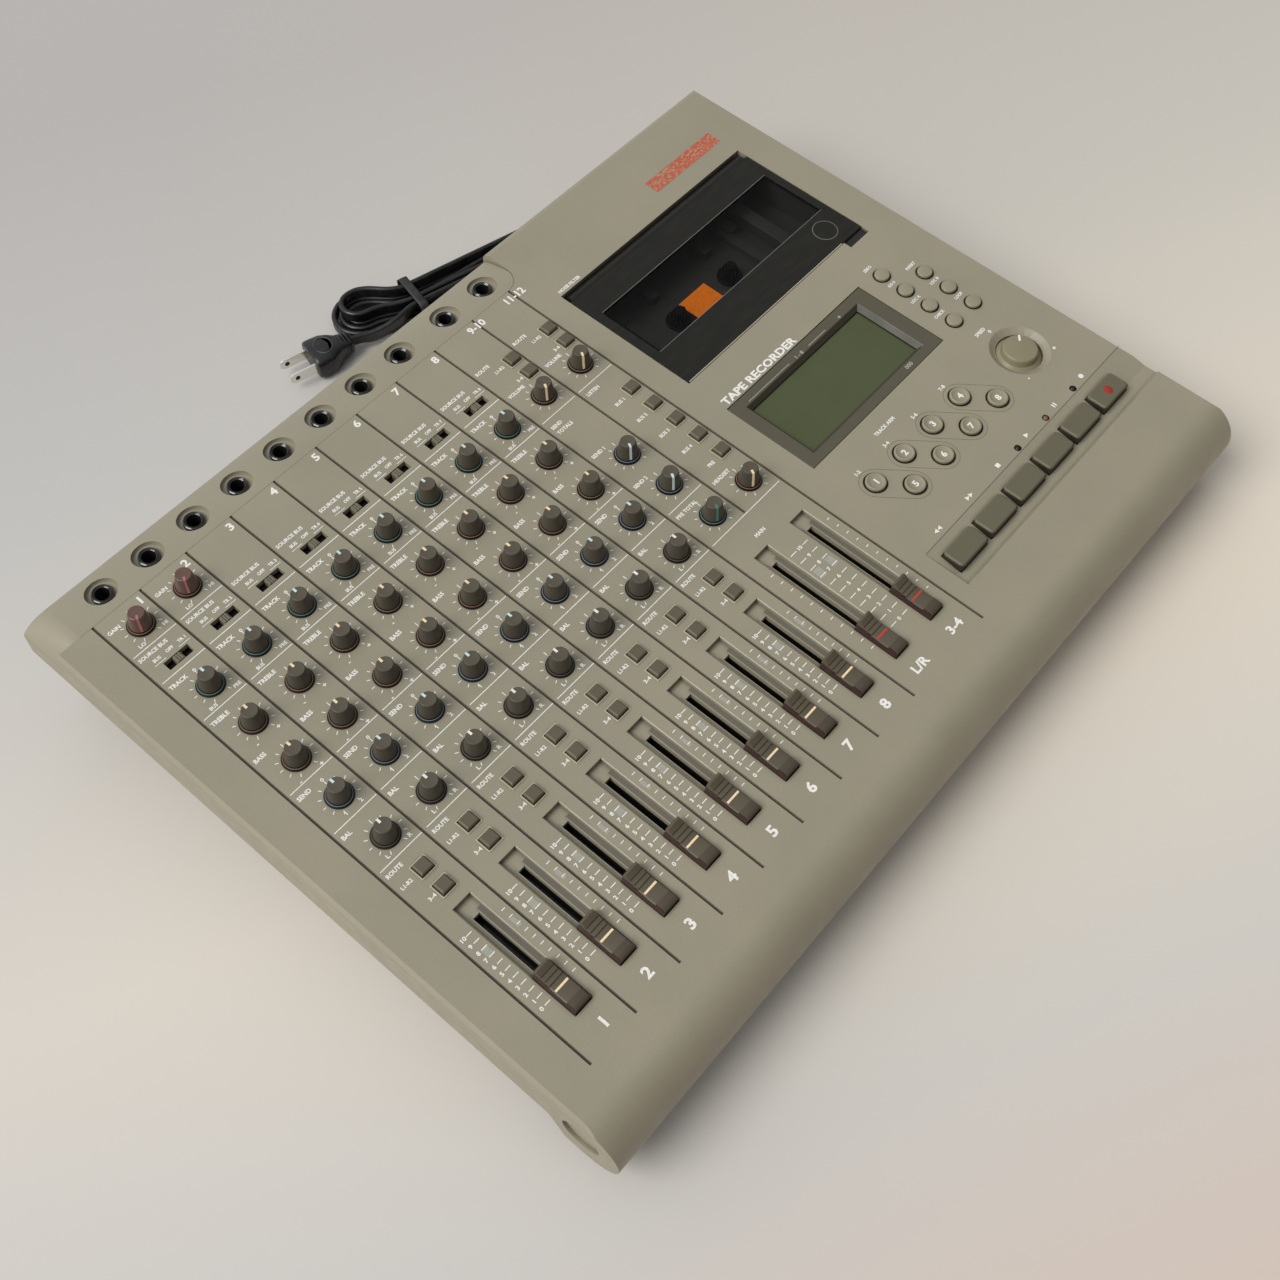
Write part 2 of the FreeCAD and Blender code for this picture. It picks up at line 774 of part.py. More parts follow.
def fader_cap(u):
    """A fader's cap at the front end of its slot, with the lever that it sits on."""
    v = fader_zero
    half = cap_length / 2
    base = -recess_depth + gap
    h = cap_height
    side = [
        (v - half, base), (v - half, h * 0.42), (v - half + 1.2, h * 0.58), (v - half + 4.6, h * 0.62),
        (v - half + 5.2, h * 0.45), (v - 2, h * 0.42), (v + 2, h * 0.45), (v + 6, h * 0.66),
        (v + half - 1.5, h), (v + half, h * 0.9), (v + half, base),
    ]
    body = side_prism(side, u - cap_width / 2, u + cap_width / 2)
    b, t = cap_width / 2, cap_top_width / 2
    front = [(u - b, base), (u - b, 0.6), (u - t, 3.0), (u - t, h + 1), (u + t, h + 1), (u + t, 3.0), (u + b, 0.6),
             (u + b, base)]
    body = body.common(front_prism(front, v - half, v + half))
    ribs = []
    for i in range(4):
        start = v + 2.4 + i * 2.0
        ribs.append(block(u - t - 0.1, u + t + 0.1, start, start + 0.7, h * 0.45 + (i + 0.6) * 0.62, h + 2))
    lever = block(u - lever_thick / 2, u + lever_thick / 2, v - lever_length / 2, v + lever_length / 2,
                  -track_depth - 2, base + 0.5)
    return joined([cut_all(body, ribs), lever])


def transport_key(place):
    """A transport key: a rounded block with a bevelled rim, on a stem."""
    low = -trough_depth
    body = soft_block(place, key_size, key_corner, low - 3, low + trough_depth + key_proud - key_sink, key_rim)
    stem = centred_block(place, (5.0, 4.0), key_stem_bottom, low - 3)
    return joined([body, stem])


def pitch_knob():
    """A low knob on a broad skirt, with a pointer line, sunk in the dish."""
    u, v = pitch_place
    low = -pitch_well_depth + 0.5
    r = pitch_knob_r
    rings = [(pitch_skirt_r, low), (pitch_skirt_r, low + 2.2), (r, low + 4.4), (r, pitch_knob_top - 0.8),
             (r - 0.8, pitch_knob_top)]
    body = turned(pitch_place, rings, fine_sides)
    line = block(u - 0.5, u + 0.5, v + 4.6, v + r - 1.2, pitch_knob_top - 0.1, pitch_knob_top + 0.15)
    shaft = turned(pitch_place, [(shaft_r, key_stem_bottom), (shaft_r, low)], shaft_sides)
    return joined([body, line, shaft])


def door_window():
    """The smoked lid, with a rounded hinge edge and a raised sight box over the tape."""
    half = door_width / 2
    top = -door_drop
    rear, front = door_rear, door_rear - door_length
    r = hinge_depth
    mid = math.sqrt(0.5) * r
    u0 = door_middle - half
    arc = Part.Arc(Vector(u0, rear - r, top), Vector(u0, rear - r + mid, top - r + mid),
                   Vector(u0, rear, top - r)).toShape()
    corners = [(rear, top - r), (rear - 2.2, top - r), (rear - 4.2, top - door_thick), (front, top - door_thick),
               (front, top - 0.5), (front + 0.5, top), (rear - r, top)]
    lines = [Part.makeLine(Vector(u0, *a), Vector(u0, *b)) for a, b in zip(corners[:-1], corners[1:])]
    plate = Part.Face(Part.Wire([arc] + lines)).extrude(Vector(door_width, 0, 0))
    step = well_ledge + gap
    ends = [block(a, a + step + 1, rear - hinge_notch, rear + 1, top - r - 1, top + 1)
            for a in (u0 - 1, u0 + door_width - step)]
    return cut_all(plate, ends)


def hinge_axis():
    """v and w of the door's hinge pins."""
    return door_rear - hinge_depth, -door_drop - hinge_depth


def laid_sideways(shape, u, v, w):
    """Turn a part drawn upright at the middle so that it points to the right from (u, v, w)."""
    shape.rotate(Vector(0, 0, 0), Vector(0, 1, 0), 90)
    shape.translate(Vector(u, v, w))
    return shape


def door_arms():
    """Two ears under the lid's hinge edge, each with its pin."""
    v, w = hinge_axis()
    under = -door_drop - door_thick
    parts = []
    for side in (-1, 1):
        outer = door_middle + side * (door_width / 2 - well_ledge - gap)
        low, high = sorted((outer, outer - side * arm_width))
        ear = laid_sideways(turned((0, 0), [(arm_r, 0), (arm_r, high - low)]), low, v, w)
        ear = ear.cut(block(low - 1, high + 1, v - arm_r - 1, v + arm_r + 1, under, 5)).cut(door_window())
        pad = block(low, high, v - 9, v - 1, under - 1.4, under)
        start = outer if side > 0 else outer - hinge_pin_length
        pin = laid_sideways(turned((0, 0), [(hinge_pin_r, 0), (hinge_pin_r, hinge_pin_length)]), start, v, w)
        parts.append(joined([ear, pad, pin]))
    return Part.makeCompound(parts)


def well_spans():
    """Plan limits in u and v of the cassette compartment's inside."""
    half = door_width / 2 - well_ledge
    return (door_middle - half, door_middle + half, door_rear - door_length + well_ledge, door_rear + gap)


def cassette_well():
    """The tray under the lid, with bearings for the spindles and ears for the hinge pins."""
    u0, u1, v0, v1 = well_spans()
    t = well_wall
    top = -skin
    tray = block(u0 - t, u1 + t, v0 - t, v1 + t, well_floor - well_floor_thick, top)
    tray = tray.cut(block(u0, u1, v0, v1, well_floor, top + 1))
    v, w = hinge_axis()
    reach = t - pin_cap
    pin = many_sided((0, 0), hinge_pin_r + pin_clearance, -reach, u1 - u0 + reach, turned_sides)
    tools = [laid_sideways(pin, u0, v, w)]
    for side in (-1, 1):
        place = (spindle_middle + side * spindle_spacing / 2, spindle_row)
        tools.append(many_sided(place, spindle_shaft_r + bearing_clearance, -40, 0, bearing_sides))
    rests = []
    for side in (-1, 1):
        middle = (spindle_middle + side * (cassette[0] / 2 - 8), spindle_row + 4)
        rests.append(centred_block(middle, (6, 46), well_floor, well_floor + 3.5))
    label = centred_block((spindle_middle + label_shift, label_row), label_size, well_floor, well_floor + 2.0)
    return cut_all(joined([tray, label] + rests), tools)


def spindle(side):
    """A reel spindle: splined hub over a flange, on a shaft that turns in the tray's floor."""
    u, v = place = (spindle_middle + side * spindle_spacing / 2, spindle_row)
    seat = well_floor + 2.2
    flange = turned(place, [(spindle_base_r, well_floor + gap), (spindle_base_r, seat)], bearing_sides)
    hub = turned(place, [(spindle_hub_r - 0.9, seat), (spindle_hub_r - 0.9, spindle_tip - 1),
                         (spindle_hub_r - 2, spindle_tip)])
    shaft = turned(place, [(spindle_shaft_r, well_floor - well_floor_thick - 4),
                           (spindle_shaft_r, well_floor + gap)], bearing_sides)
    teeth = []
    for i in range(spline_count // 2):
        tooth = block(-spindle_hub_r, spindle_hub_r, -0.6, 0.6, seat, spindle_tip - 1.5)
        tooth.rotate(Vector(0, 0, 0), Vector(0, 0, 1), 360.0 * i / spline_count)
        tooth.translate(Vector(u, v, 0))
        teeth.append(tooth)
    return joined([flange, hub, shaft] + teeth)


def capstan_place(side):
    return (spindle_middle + side * (capstan_spread - capstan_step[0]), head_row + capstan_step[1])


def head_block():
    """Tape head, guides, capstans and pinch rollers along the front of the compartment."""
    floor = well_floor
    v = head_row
    seat = floor + head_plate[2]
    plate = centred_block((spindle_middle, v), head_plate[:2], floor, seat)
    head = centred_block((spindle_middle, v + 1), head_size[:2], seat, seat + head_size[2])
    parts = [joined([plate, head])]
    for side in (-1, 1):
        roller = (spindle_middle + side * capstan_spread, v)
        parts.append(turned(roller, [(roller_r, seat), (roller_r, seat + roller_height)]))
        parts.append(turned(capstan_place(side), [(capstan_r, floor), (capstan_r, floor + capstan_height)],
                            socket_sides))
    return Part.makeCompound(parts)


def tape_drive():
    """Motor and two flywheels under the cassette compartment."""
    under = well_floor - well_floor_thick
    top = under - flywheel_drop
    parts = []
    for side in (-1, 1):
        rings = [(flywheel_r, top - flywheel_thick), (flywheel_r, top), (shaft_r, top), (shaft_r, under)]
        parts.append(turned(capstan_place(side), rings))
    motor = (spindle_middle + motor_step[0], spindle_row + motor_step[1])
    parts.append(turned(motor, [(motor_r, top - motor_height), (motor_r, under)]))
    return Part.makeCompound(parts)


def display_bezel():
    top = -bezel_drop
    frame = centred_block(bezel_middle, bezel_size, top - bezel_thick, top)
    b = window_bevel
    u, v = window_middle
    window = centred_block(window_middle, window_size, top - bezel_thick - 1, top + 1)
    bevel_top = Part.makePolygon([
        Vector(u - window_size[0] / 2 - b, v - window_size[1] / 2 - b, top),
        Vector(u + window_size[0] / 2 + b, v - window_size[1] / 2 - b, top),
        Vector(u + window_size[0] / 2 + b, v + window_size[1] / 2 + b, top),
        Vector(u - window_size[0] / 2 - b, v + window_size[1] / 2 + b, top),
        Vector(u - window_size[0] / 2 - b, v - window_size[1] / 2 - b, top),
    ])
    low = top - bezel_thick + 0.8
    bevel_low = Part.makePolygon([
        Vector(u - window_size[0] / 2, v - window_size[1] / 2, low),
        Vector(u + window_size[0] / 2, v - window_size[1] / 2, low),
        Vector(u + window_size[0] / 2, v + window_size[1] / 2, low),
        Vector(u - window_size[0] / 2, v + window_size[1] / 2, low),
        Vector(u - window_size[0] / 2, v - window_size[1] / 2, low),
    ])
    bevel = Part.makeLoft([bevel_low, bevel_top], True, True)
    return cut_all(frame, [window, bevel])


def display_module():
    """The display's glass and the housing behind it, down to the board."""
    top = -bezel_drop - bezel_thick
    size = (window_size[0] + 8, window_size[1] + 8)
    return centred_block(window_middle, size, board_top, top)


def circuit_boards():
    half = case_width / 2 - skin
    split = groove_u(strip_count + 2) + 4
    mixer = block(-half + 8, split, case_front + 42, -6, board_top - board_thick, board_top)
    deck = block(split + 4, half - 8, case_front + 42, door_rear - door_length - 8, board_top - board_thick,
                 board_top)
    return Part.makeCompound([mixer, deck])


def lamps():
    return Part.makeCompound([many_sided(p, lamp_r, board_top, lamp_proud) for p in lamp_places()])


def tray_solid(inset, top_rise):
    """The lower case's outer form, or its hollow when inset."""
    rear = rear_wall - inset
    floor = foot_height + inset
    seam_rear = (rear_wall, row_z(case_rear, -side_depth) + top_rise)
    seam_front = (row_y(tray_front, -side_depth), row_z(tray_front, -side_depth) + top_rise)
    front_low = seam_front[0] + tray_front_lean + inset
    side = [(rear, seam_rear[1]), (seam_front[0] + inset, seam_front[1]), (front_low, floor), (rear, floor)]
    half = case_width / 2 - inset
    wire = Part.makePolygon([Vector(-half, y, z) for y, z in side + side[:1]])
    body = Part.Face(wire).extrude(Vector(2 * half, 0, 0))
    drop = row_z(case_rear, -side_depth)
    lean = tray_taper * drop / (drop - foot_height)
    slant = [(-half + lean, -side_depth - drop), (-half, -side_depth), (-half, drop), (half, drop), (half, -side_depth),
             (half - lean, -side_depth - drop)]
    return body.common(tilt(front_prism(slant, case_front, case_rear + side_depth)))


def lower_case():
    shell = tray_solid(0, 0).cut(tray_solid(tray_wall, 30))
    x, z = rear_plate_middle
    opening = Part.makeBox(rear_plate[0], 20, rear_plate[1],
                           Vector(x - rear_plate[0] / 2, rear_wall - 10, z - rear_plate[1] / 2))
    x, z = rocker_place
    rocker = Part.makeBox(rocker_size[0] + 2 * gap, 20, rocker_size[1] + 2.4,
                          Vector(x - rocker_size[0] / 2 - gap, rear_wall - 10, z - rocker_size[1] / 2 - 1.2))
    x, z = relief_place
    inlet = laid_rearwards(turned((0, 0), [(5.0, 0), (5.0, 20)]), (x, z), rear_wall - 10)
    return cut_all(shell, [opening, rocker, inlet])


def rear_panel():
    x, z = rear_plate_middle
    y = rear_wall - tray_wall
    return Part.makeBox(rear_plate[0], rear_plate_thick, rear_plate[1],
                        Vector(x - rear_plate[0] / 2, y, z - rear_plate[1] / 2))


def rear_sockets():
    """Pin sockets in two rows on the connector plate."""
    x, z = rear_plate_middle
    face = rear_wall - tray_wall + rear_plate_thick
    parts = []
    for row in range(socket_rows):
        for column in range(socket_columns):
            cx = x + (column - (socket_columns - 1) / 2) * socket_pitch
            cz = z + (row - 0.5) * socket_row_gap
            length = rear_wall + socket_length - face
            rings = [(socket_flange_r, 0), (socket_flange_r, 1.2), (socket_r, 1.2), (socket_r, length)]
            parts.append(laid_rearwards(turned((0, 0), rings, socket_sides), (cx, cz), face))
    return Part.makeCompound(parts)


def power_switch():
    """A rocker in the rear wall, tipped about its middle."""
    x, z = rocker_place
    axis_y = rear_wall - rocker_depth
    w, h = rocker_size
    body = laid_sideways(turned((0, 0), [(rocker_r, 0), (rocker_r, w)]), x - w / 2, axis_y, z)
    body = body.common(Part.makeBox(w, 20, h, Vector(x - w / 2, axis_y - 2, z - h / 2)))
    pin = laid_sideways(turned((0, 0), [(1.5, 0), (1.5, w + 4)], shaft_sides), x - w / 2 - 2, axis_y, z)
    rocker = joined([body, pin])
    rocker.rotate(Vector(x, axis_y, z), Vector(1, 0, 0), -rocker_tilt)
    return rocker


def feet():
    half = case_width / 2 - tray_taper - foot_inset
    rear = rear_wall - foot_inset
    front = row_y(tray_front, -side_depth) + tray_front_lean + foot_inset
    places = [(x, y) for x in (-half, half) for y in (front, rear)]
    return Part.makeCompound([turned(p, [(foot_radius - 1.5, 0), (foot_radius, foot_height)]) for p in places])


def power_transformer():
    x1 = case_width / 2 - tray_taper - tray_wall - 8
    y1 = rear_wall - tray_wall - 20
    w, d, h = transformer_size
    z = foot_height + tray_wall
    core = Part.makeBox(w, d, h * 0.75, Vector(x1 - w, y1 - d, z))
    coil = Part.makeBox(w - 14, d + 12, h * 0.5, Vector(x1 - w + 7, y1 - d - 6, z + h * 0.12))
    return joined([core, coil])


def strain_relief():
    """The cord's bushing: a plug through the wall, a flange and a tapered boot."""
    neck = tray_wall + 1
    rings = [(4.9, 0), (4.9, neck), (7.0, neck), (7.0, neck + relief_flange), (5.6, neck + relief_flange),
             (4.4, neck + relief_length)]
    return laid_rearwards(turned((0, 0), rings), relief_place, rear_wall - neck)


def hank_to_row(point):
    """Move a point from the hank's own frame to the row frame."""
    turn = math.radians(hank_heading)
    x = hank_left[0] + point.x * math.cos(turn) - point.y * math.sin(turn)
    y = hank_left[1] + point.x * math.sin(turn) + point.y * math.cos(turn)
    return Vector(x, y, point.z)


def placed_hank(shape):
    shape.rotate(Vector(0, 0, 0), Vector(0, 0, 1), hank_heading)
    shape.translate(Vector(hank_left[0], hank_left[1], 0))
    return shape


def layer_z(layer):
    return hank_floor + cord_width / 2 + layer * layer_step


def arc_edge(a, b, c):
    return Part.Arc(a, b, c).toShape()


def bend(start, end, lane=0.0):
    """Two arcs from start to end, both ends along X; lane makes it an offset of the middle curve."""
    heading = Vector(math.copysign(1, end.x - start.x), 0, 0)
    along = abs(end.x - start.x)
    side = end - start - heading * along
    aside = Vector(side).normalize()
    radius = (along ** 2 + side.Length ** 2) / (4 * side.Length)
    turn = math.asin(along / (2 * radius))
    first = radius - lane * aside.y
    second = radius + lane * aside.y
    joint = start + heading * (first * math.sin(turn)) + aside * (first * (1 - math.cos(turn)))
    half = turn / 2
    one = start + heading * (first * math.sin(half)) + aside * (first * (1 - math.cos(half)))
    two = end - heading * (second * math.sin(half)) - aside * (second * (1 - math.cos(half)))
    return [arc_edge(start, one, joint), arc_edge(joint, two, end)]


def half_turn(start, end, way):
    """A half turn in two quarters; way is -1 at the left loops and 1 at the right ones."""
    middle = (start + end) / 2
    r = (end - start).Length / 2
    crown = middle + Vector(way * r, 0, 0)
    diagonal = r * math.sqrt(0.5)
    rise = math.copysign(diagonal, end.y - start.y)
    one = middle + Vector(way * diagonal, -rise, 0)
    two = middle + Vector(way * diagonal, rise, 0)
    return [arc_edge(start, one, crown), arc_edge(crown, two, end)]


def strand(side, index, start_layer, end_layer):
    """Stations of one strand: left end, waist and right end. side is -1 near the case, 1 away from it."""
    y = hank_inner + strand_step * index
    left = side * y + (near_flare if side < 0 else far_flare)
    return [Vector(0, left, layer_z(start_layer)), Vector(hank_waist, side * y, layer_z(start_layer)),
            Vector(hank_length, side * y, layer_z(end_layer))]


def strand_edges(side, index, layers):
    """A strand as bends, read towards the left when it is a near one."""
    stations = strand(side, index, *layers)
    lane = side * strand_step * index
    flare = bend(stations[1], stations[0], lane) if side < 0 else bend(stations[0], stations[1], lane)
    if side < 0:
        return [Part.makeLine(stations[2], stations[1])] + flare
    if layers[0] == layers[1]:
        return flare + [Part.makeLine(stations[1], stations[2])]
    return flare + bend(stations[1], stations[2])


def hank_order():
    """Strands in the order the cord runs through them, as (side, index, layers)."""
    lower = [(-1, 2.5), (1, 2), (-1, 1.5), (1, 1), (-1, 0.5)]
    upper = [(-1, 0.5), (1, 1)]
    order = [(side, index, (0, 0)) for side, index in lower] + [(1, 0, (0, 1))]
    return order + [(side, index, (1, 1)) for side, index in upper]


def hank_path():
    """The cord's middle line through the hank and on to the plug, in the hank's own frame."""
    edges = []
    order = hank_order()
    for i, (side, index, layers) in enumerate(order):
        edges += strand_edges(side, index, layers)
        here = strand(side, index, *layers)
        if i + 1 < len(order):
            there = strand(order[i + 1][0], order[i + 1][1], *order[i + 1][2])
        else:
            there = strand(-1, 1.5, 1, 1)
        end = 0 if side < 0 else 2
        edges += half_turn(here[end], there[end], -1 if side < 0 else 1)
    last = strand(-1, 1.5, 1, 1)
    outside = strand(-1, 2.5, 1, 1)[1].y
    low = plug_height()
    stations = [Vector(12, outside - 0.6, last[1].z), Vector(-3, outside + 1.6, low),
                Vector(plug_rear + 3.5, plug_aside, low)]
    edges.append(Part.makeLine(last[2], last[1]))
    for a, b in zip([last[1]] + stations[:-1], stations):
        edges += bend(a, b)
    edges.append(Part.makeLine(stations[-1], Vector(plug_rear, plug_aside, low)))
    return edges


def cord_section(point, heading):
    """The flat cord's outline, standing on its edge, square to a level heading."""
    side = Vector(-heading.y, heading.x, 0).normalize()
    a, b = cord_thick / 2, cord_width / 2
    corners = [(a, b), (-a, b), (-a, -b), (a, -b)]
    points = [point + side * x + Vector(0, 0, z) for x, z in corners]
    return Part.makePolygon(points + points[:1])


def tube(edges, heading):
    """Sweep the cord's outline along a path, and compare its volume with section times length."""
    path = Part.Wire(edges)
    section = cord_section(edges[0].Vertexes[0].Point, heading)
    solid = path.makePipeShell([section], True, False)
    expected = Part.Face(section).Area * path.Length
    print("cord length %.1f, volume %.1f of %.1f" % (path.Length, solid.Volume, expected))
    return solid


def self_gap(edges):
    """Least clear distance of the hank's strands from each other, measured on points."""
    points = []
    run = 0.0
    for edge in edges:
        count = max(2, int(edge.Length))
        for i in range(count):
            start, end = edge.ParameterRange
            if edge.Orientation == "Reversed":
                start, end = end, start
            points.append((run + edge.Length * i / count, edge.valueAt(start + (end - start) * i / count)))
        run += edge.Length
    least = 1000.0
    for i, (at, p) in enumerate(points):
        for where, q in points[i + 1:]:
            if where - at > 4 * cord_width:
                flat = math.hypot(p.x - q.x, p.y - q.y) - cord_thick
                least = min(least, max(flat, abs(p.z - q.z) - cord_width))
    return least


def rounded_route(points):
    """Straight runs joined by arcs as large as the runs allow."""
    edges = []
    radii = []
    at = points[0]
    for a, b, c in zip(points[:-2], points[1:-1], points[2:]):
        back = (a - b).normalize()
        on = (c - b).normalize()
        turn = math.pi - back.getAngle(on)
        trim = 0.45 * min((a - b).Length, (c - b).Length)
        radius = trim / math.tan(turn / 2)
        start, end = b + back * trim, b + on * trim
        centre = b + (back + on).normalize() * math.hypot(radius, trim)
        crown = centre + (b - centre).normalize() * radius
        edges += [Part.makeLine(at, start), arc_edge(start, crown, end)]
        radii.append(round(radius, 1))
        at = end
    edges.append(Part.makeLine(at, points[-1]))
    print("lead radii", radii)
    return edges


def lead_points():
    """From the hank's outermost strand to the strain relief."""
    join = strand(-1, 2.5, 0, 0)[2]
    x, z = relief_place
    tip = rear_wall + relief_length
    return [
        hank_to_row(join), hank_to_row(join + Vector(27, 0, 0)),
        Vector(x - 31, tip + 14, 6.0), Vector(x - 17, tip + 30, 15.0), Vector(x, tip + 22, z - 0.5),
        Vector(x, tip, z),
    ]


def cord_lead():
    points = lead_points()
    return tube(rounded_route(points), points[1] - points[0])


def cord_hank():
    edges = hank_path()
    print("hank self gap %.2f" % self_gap(edges))
    return placed_hank(tube(edges, Vector(-1, 0, 0)))


def cord_tie():
    """A band round the waist of the hank."""
    outer = hank_inner + strand_step * 2.5 + cord_thick / 2 + gap
    inner_far = hank_inner + strand_step * 2 + cord_thick / 2 + gap
    low, high = hank_floor - gap, layer_z(1) + cord_width / 2 + gap
    x0 = hank_waist - tie_width / 2
    loops = []
    for grow, c in ((tie_thick, tie_thick + 0.1), (0, 0.1)):
        y0, y1, z0, z1 = -outer - grow, inner_far + grow, low - grow, high + grow
        points = [(y0 + c, z0), (y1 - c, z0), (y1, z0 + c), (y1, z1 - c), (y1 - c, z1), (y0 + c, z1),
                  (y0, z1 - c), (y0, z0 + c)]
        wire = Part.makePolygon([Vector(x0, y, z) for y, z in points + points[:1]])
        loops.append(Part.Face(wire).extrude(Vector(tie_width, 0, 0)))
    return placed_hank(loops[0].cut(loops[1]))


def plug_height():
    return plug_thick / 2 + 0.1


def mains_plug():
    """A moulded two-blade plug lying flat, narrow at the cord and wide at the blades."""
    rear, face = plug_rear, plug_rear - plug_length
    neck, half = plug_neck / 2, plug_width / 2
    outline = [(rear, neck), (rear - 7, neck + 0.6), (face + 9, half), (face, half - 0.5)]
    outline += [(x, -y) for x, y in outline[::-1]]
    low = plug_height() - plug_thick / 2
    plan = Part.makePolygon([Vector(x, plug_aside + y, low) for x, y in outline + outline[:1]])
    body = Part.Face(plan).extrude(Vector(0, 0, plug_thick))
    rims = [e for e in body.Edges if abs(e.Vertexes[0].Z - e.Vertexes[1].Z) < 0.1]
    parts = [body.makeChamfer(plug_chamfer, rims)]
    for side in (-1, 1):
        y = plug_aside + side * blade_spacing / 2
        parts.append(Part.makeBox(blade_length + 2, blade_thick, blade_width,
                                  Vector(face - blade_length, y - blade_thick / 2, plug_height() - blade_width / 2)))
    return placed_hank(joined(parts))


def build_all():
    nodes = {
        "upper_case": tilt(upper_case()),
        "lower_case": lower_case(),
        "input_panel": tilt(input_panel()),
        "jack_sockets": tilt(jack_sockets()),
        "rear_panel": rear_panel(),
        "rear_sockets": rear_sockets(),
        "cassette_well": tilt(cassette_well()),
        "head_block": tilt(head_block()),
        "tape_drive": tilt(tape_drive()),
        "display_bezel": tilt(display_bezel()),
        "display_module": tilt(display_module()),
        "circuit_boards": tilt(circuit_boards()),
        "control_pots": tilt(control_pots()),
        "indicator_lamps": tilt(lamps()),
        "power_transformer": power_transformer(),
        "rubber_feet": feet(),
        "power_switch": power_switch(),
        "strain_relief": strain_relief(),
        "door_window": tilt(door_window()),
        "door_arms": tilt(door_arms()),
        "left_spindle": tilt(spindle(-1)),
        "right_spindle": tilt(spindle(1)),
        "pitch_knob": tilt(pitch_knob()),
        "channel_knobs": tilt(channel_knobs()),
        "assign_buttons": tilt(assign_buttons()),
        "slide_switches": tilt(slide_switches()),
        "round_buttons": tilt(round_buttons()),
        "cord_lead": cord_lead(),
        "cord_hank": cord_hank(),
        "cord_tie": cord_tie(),
        "mains_plug": mains_plug(),
    }
    for name, place in zip(key_names, key_places()):
        nodes[name + "_key"] = tilt(transport_key(place))
    for i, (u, travel) in enumerate(fader_places()):
        name = "fader_%d" % (i + 1) if i < strip_count else "master_fader_%d" % (i - strip_count + 1)
        nodes[name] = tilt(fader_cap(u))
    for name, place in {**master_knobs(), **trim_knobs()}.items():
        nodes[name] = tilt(rotary_knob(place, 150))
    for name, place in first_strip_knobs().items():
        nodes[name] = tilt(rotary_knob(place, 0))
    return nodes


def main():
    os.makedirs("parts", exist_ok=True)
    nodes = build_all()
    print("origin shift %.4f, panel height at v = 0 %.4f, rear wall y %.3f" % (origin_shift, height_zero, rear_wall))
    for name, shape in nodes.items():
        shape.exportStep("parts/%s.step" % name)
        if not shape.isValid():
            print("not valid:", name)
    print(len(nodes), "nodes")


main()
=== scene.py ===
import math

import bmesh
import bpy
from mathutils import Matrix, Vector


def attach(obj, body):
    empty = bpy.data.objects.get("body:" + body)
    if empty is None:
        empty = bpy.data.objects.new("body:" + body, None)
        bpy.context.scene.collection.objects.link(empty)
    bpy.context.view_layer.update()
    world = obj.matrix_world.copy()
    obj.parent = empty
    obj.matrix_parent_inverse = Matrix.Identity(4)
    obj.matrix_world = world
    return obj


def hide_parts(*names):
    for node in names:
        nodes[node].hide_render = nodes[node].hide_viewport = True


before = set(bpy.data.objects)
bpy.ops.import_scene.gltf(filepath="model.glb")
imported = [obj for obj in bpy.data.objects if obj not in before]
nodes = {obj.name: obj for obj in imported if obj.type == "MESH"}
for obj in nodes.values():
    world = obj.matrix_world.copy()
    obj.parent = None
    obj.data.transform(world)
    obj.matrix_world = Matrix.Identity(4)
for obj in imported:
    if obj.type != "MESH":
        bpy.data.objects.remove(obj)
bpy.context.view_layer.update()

# The panel's own frame, in millimetres: u to the right, v to the rear along the slope, w out of the panel.
MM = 0.001
SLOPE = math.radians(4.0)
SHIFT = 142.7216
HEIGHT = 72.7894
REAR_WALL = 172.836
ROW = Matrix.Scale(MM, 4)
PANEL = Matrix.Translation(Vector((0, SHIFT, HEIGHT)) * MM) @ Matrix.Rotation(SLOPE, 4, "X") @ ROW

PITCH = 27.0
FIRST_GROOVE = -216.5
CHANNELS = 8
GROOVE_FRONT = -294.5
MASTER_GROOVE_FRONT = -177.0
PRINT_LIFT = 0.06
# Where the panel's middle lies, in strips from the first groove.
MIDDLE_STRIP = 8.02

# How far the controls of a strip stand from the groove on its left.
KNOB_ASIDE = 15.5
MASTER_ASIDE = 15.8
FADER_ASIDE = 15.3
MASTER_FADER_ASIDE = 14.8
JACK_ASIDE = 15.4
STEREO_JACKS = (20.3, 47.7)

# Rows of controls, as places along v.
KNOB_ROWS = {"tape": -60.3, "high": -87.5, "low": -114.1, "send": -140.1, "pan": -167.4}
TRIM_ROW = -14.6
LEVEL_ROW = -59.4
EFFECT_ROWS = (-113.4, -139.9)
LISTEN_ROW = -166.6
SWITCH_ROW = -39.5
ROUTE_ROWS = (-189.0, -201.0)
FADER_ZERO = -265.5
FADER_TRAVEL = 42.6
MASTER_TRAVEL = 57.2
JACK_ROW = 13.2
KEY_ROW = -266.5
LAMP_ROW = -252.5

FIRST_KEY = 80.1
KEY_STEP = 25.1
KEYS = ["rewind", "forward", "stop", "play", "pause", "record"]

# Middle, rear edge, width and length of the lid; middle, width and length of the display's window.
DOOR = (141.6, -22.7, 144.9, 84.7)
WINDOW = (122.7, -159.1, 87.2, 37.4)
PITCH_DIAL = (199.1, -218.7)
REELS = (133.2, -67.0)
REEL_ASIDE = 21.25

# The first numbered button, the step to the next pair, and the way to a pair's second button.
NUMBERED = (81.9, -213.0)
NUMBERED_STEP = 23.7
NUMBERED_PAIR = (12.0, -14.8)
# Both columns and the rear row of the plain round buttons.
SMALL_BUTTONS = (192.6, 209.7, -136.4)
SMALL_STEP = 15.35
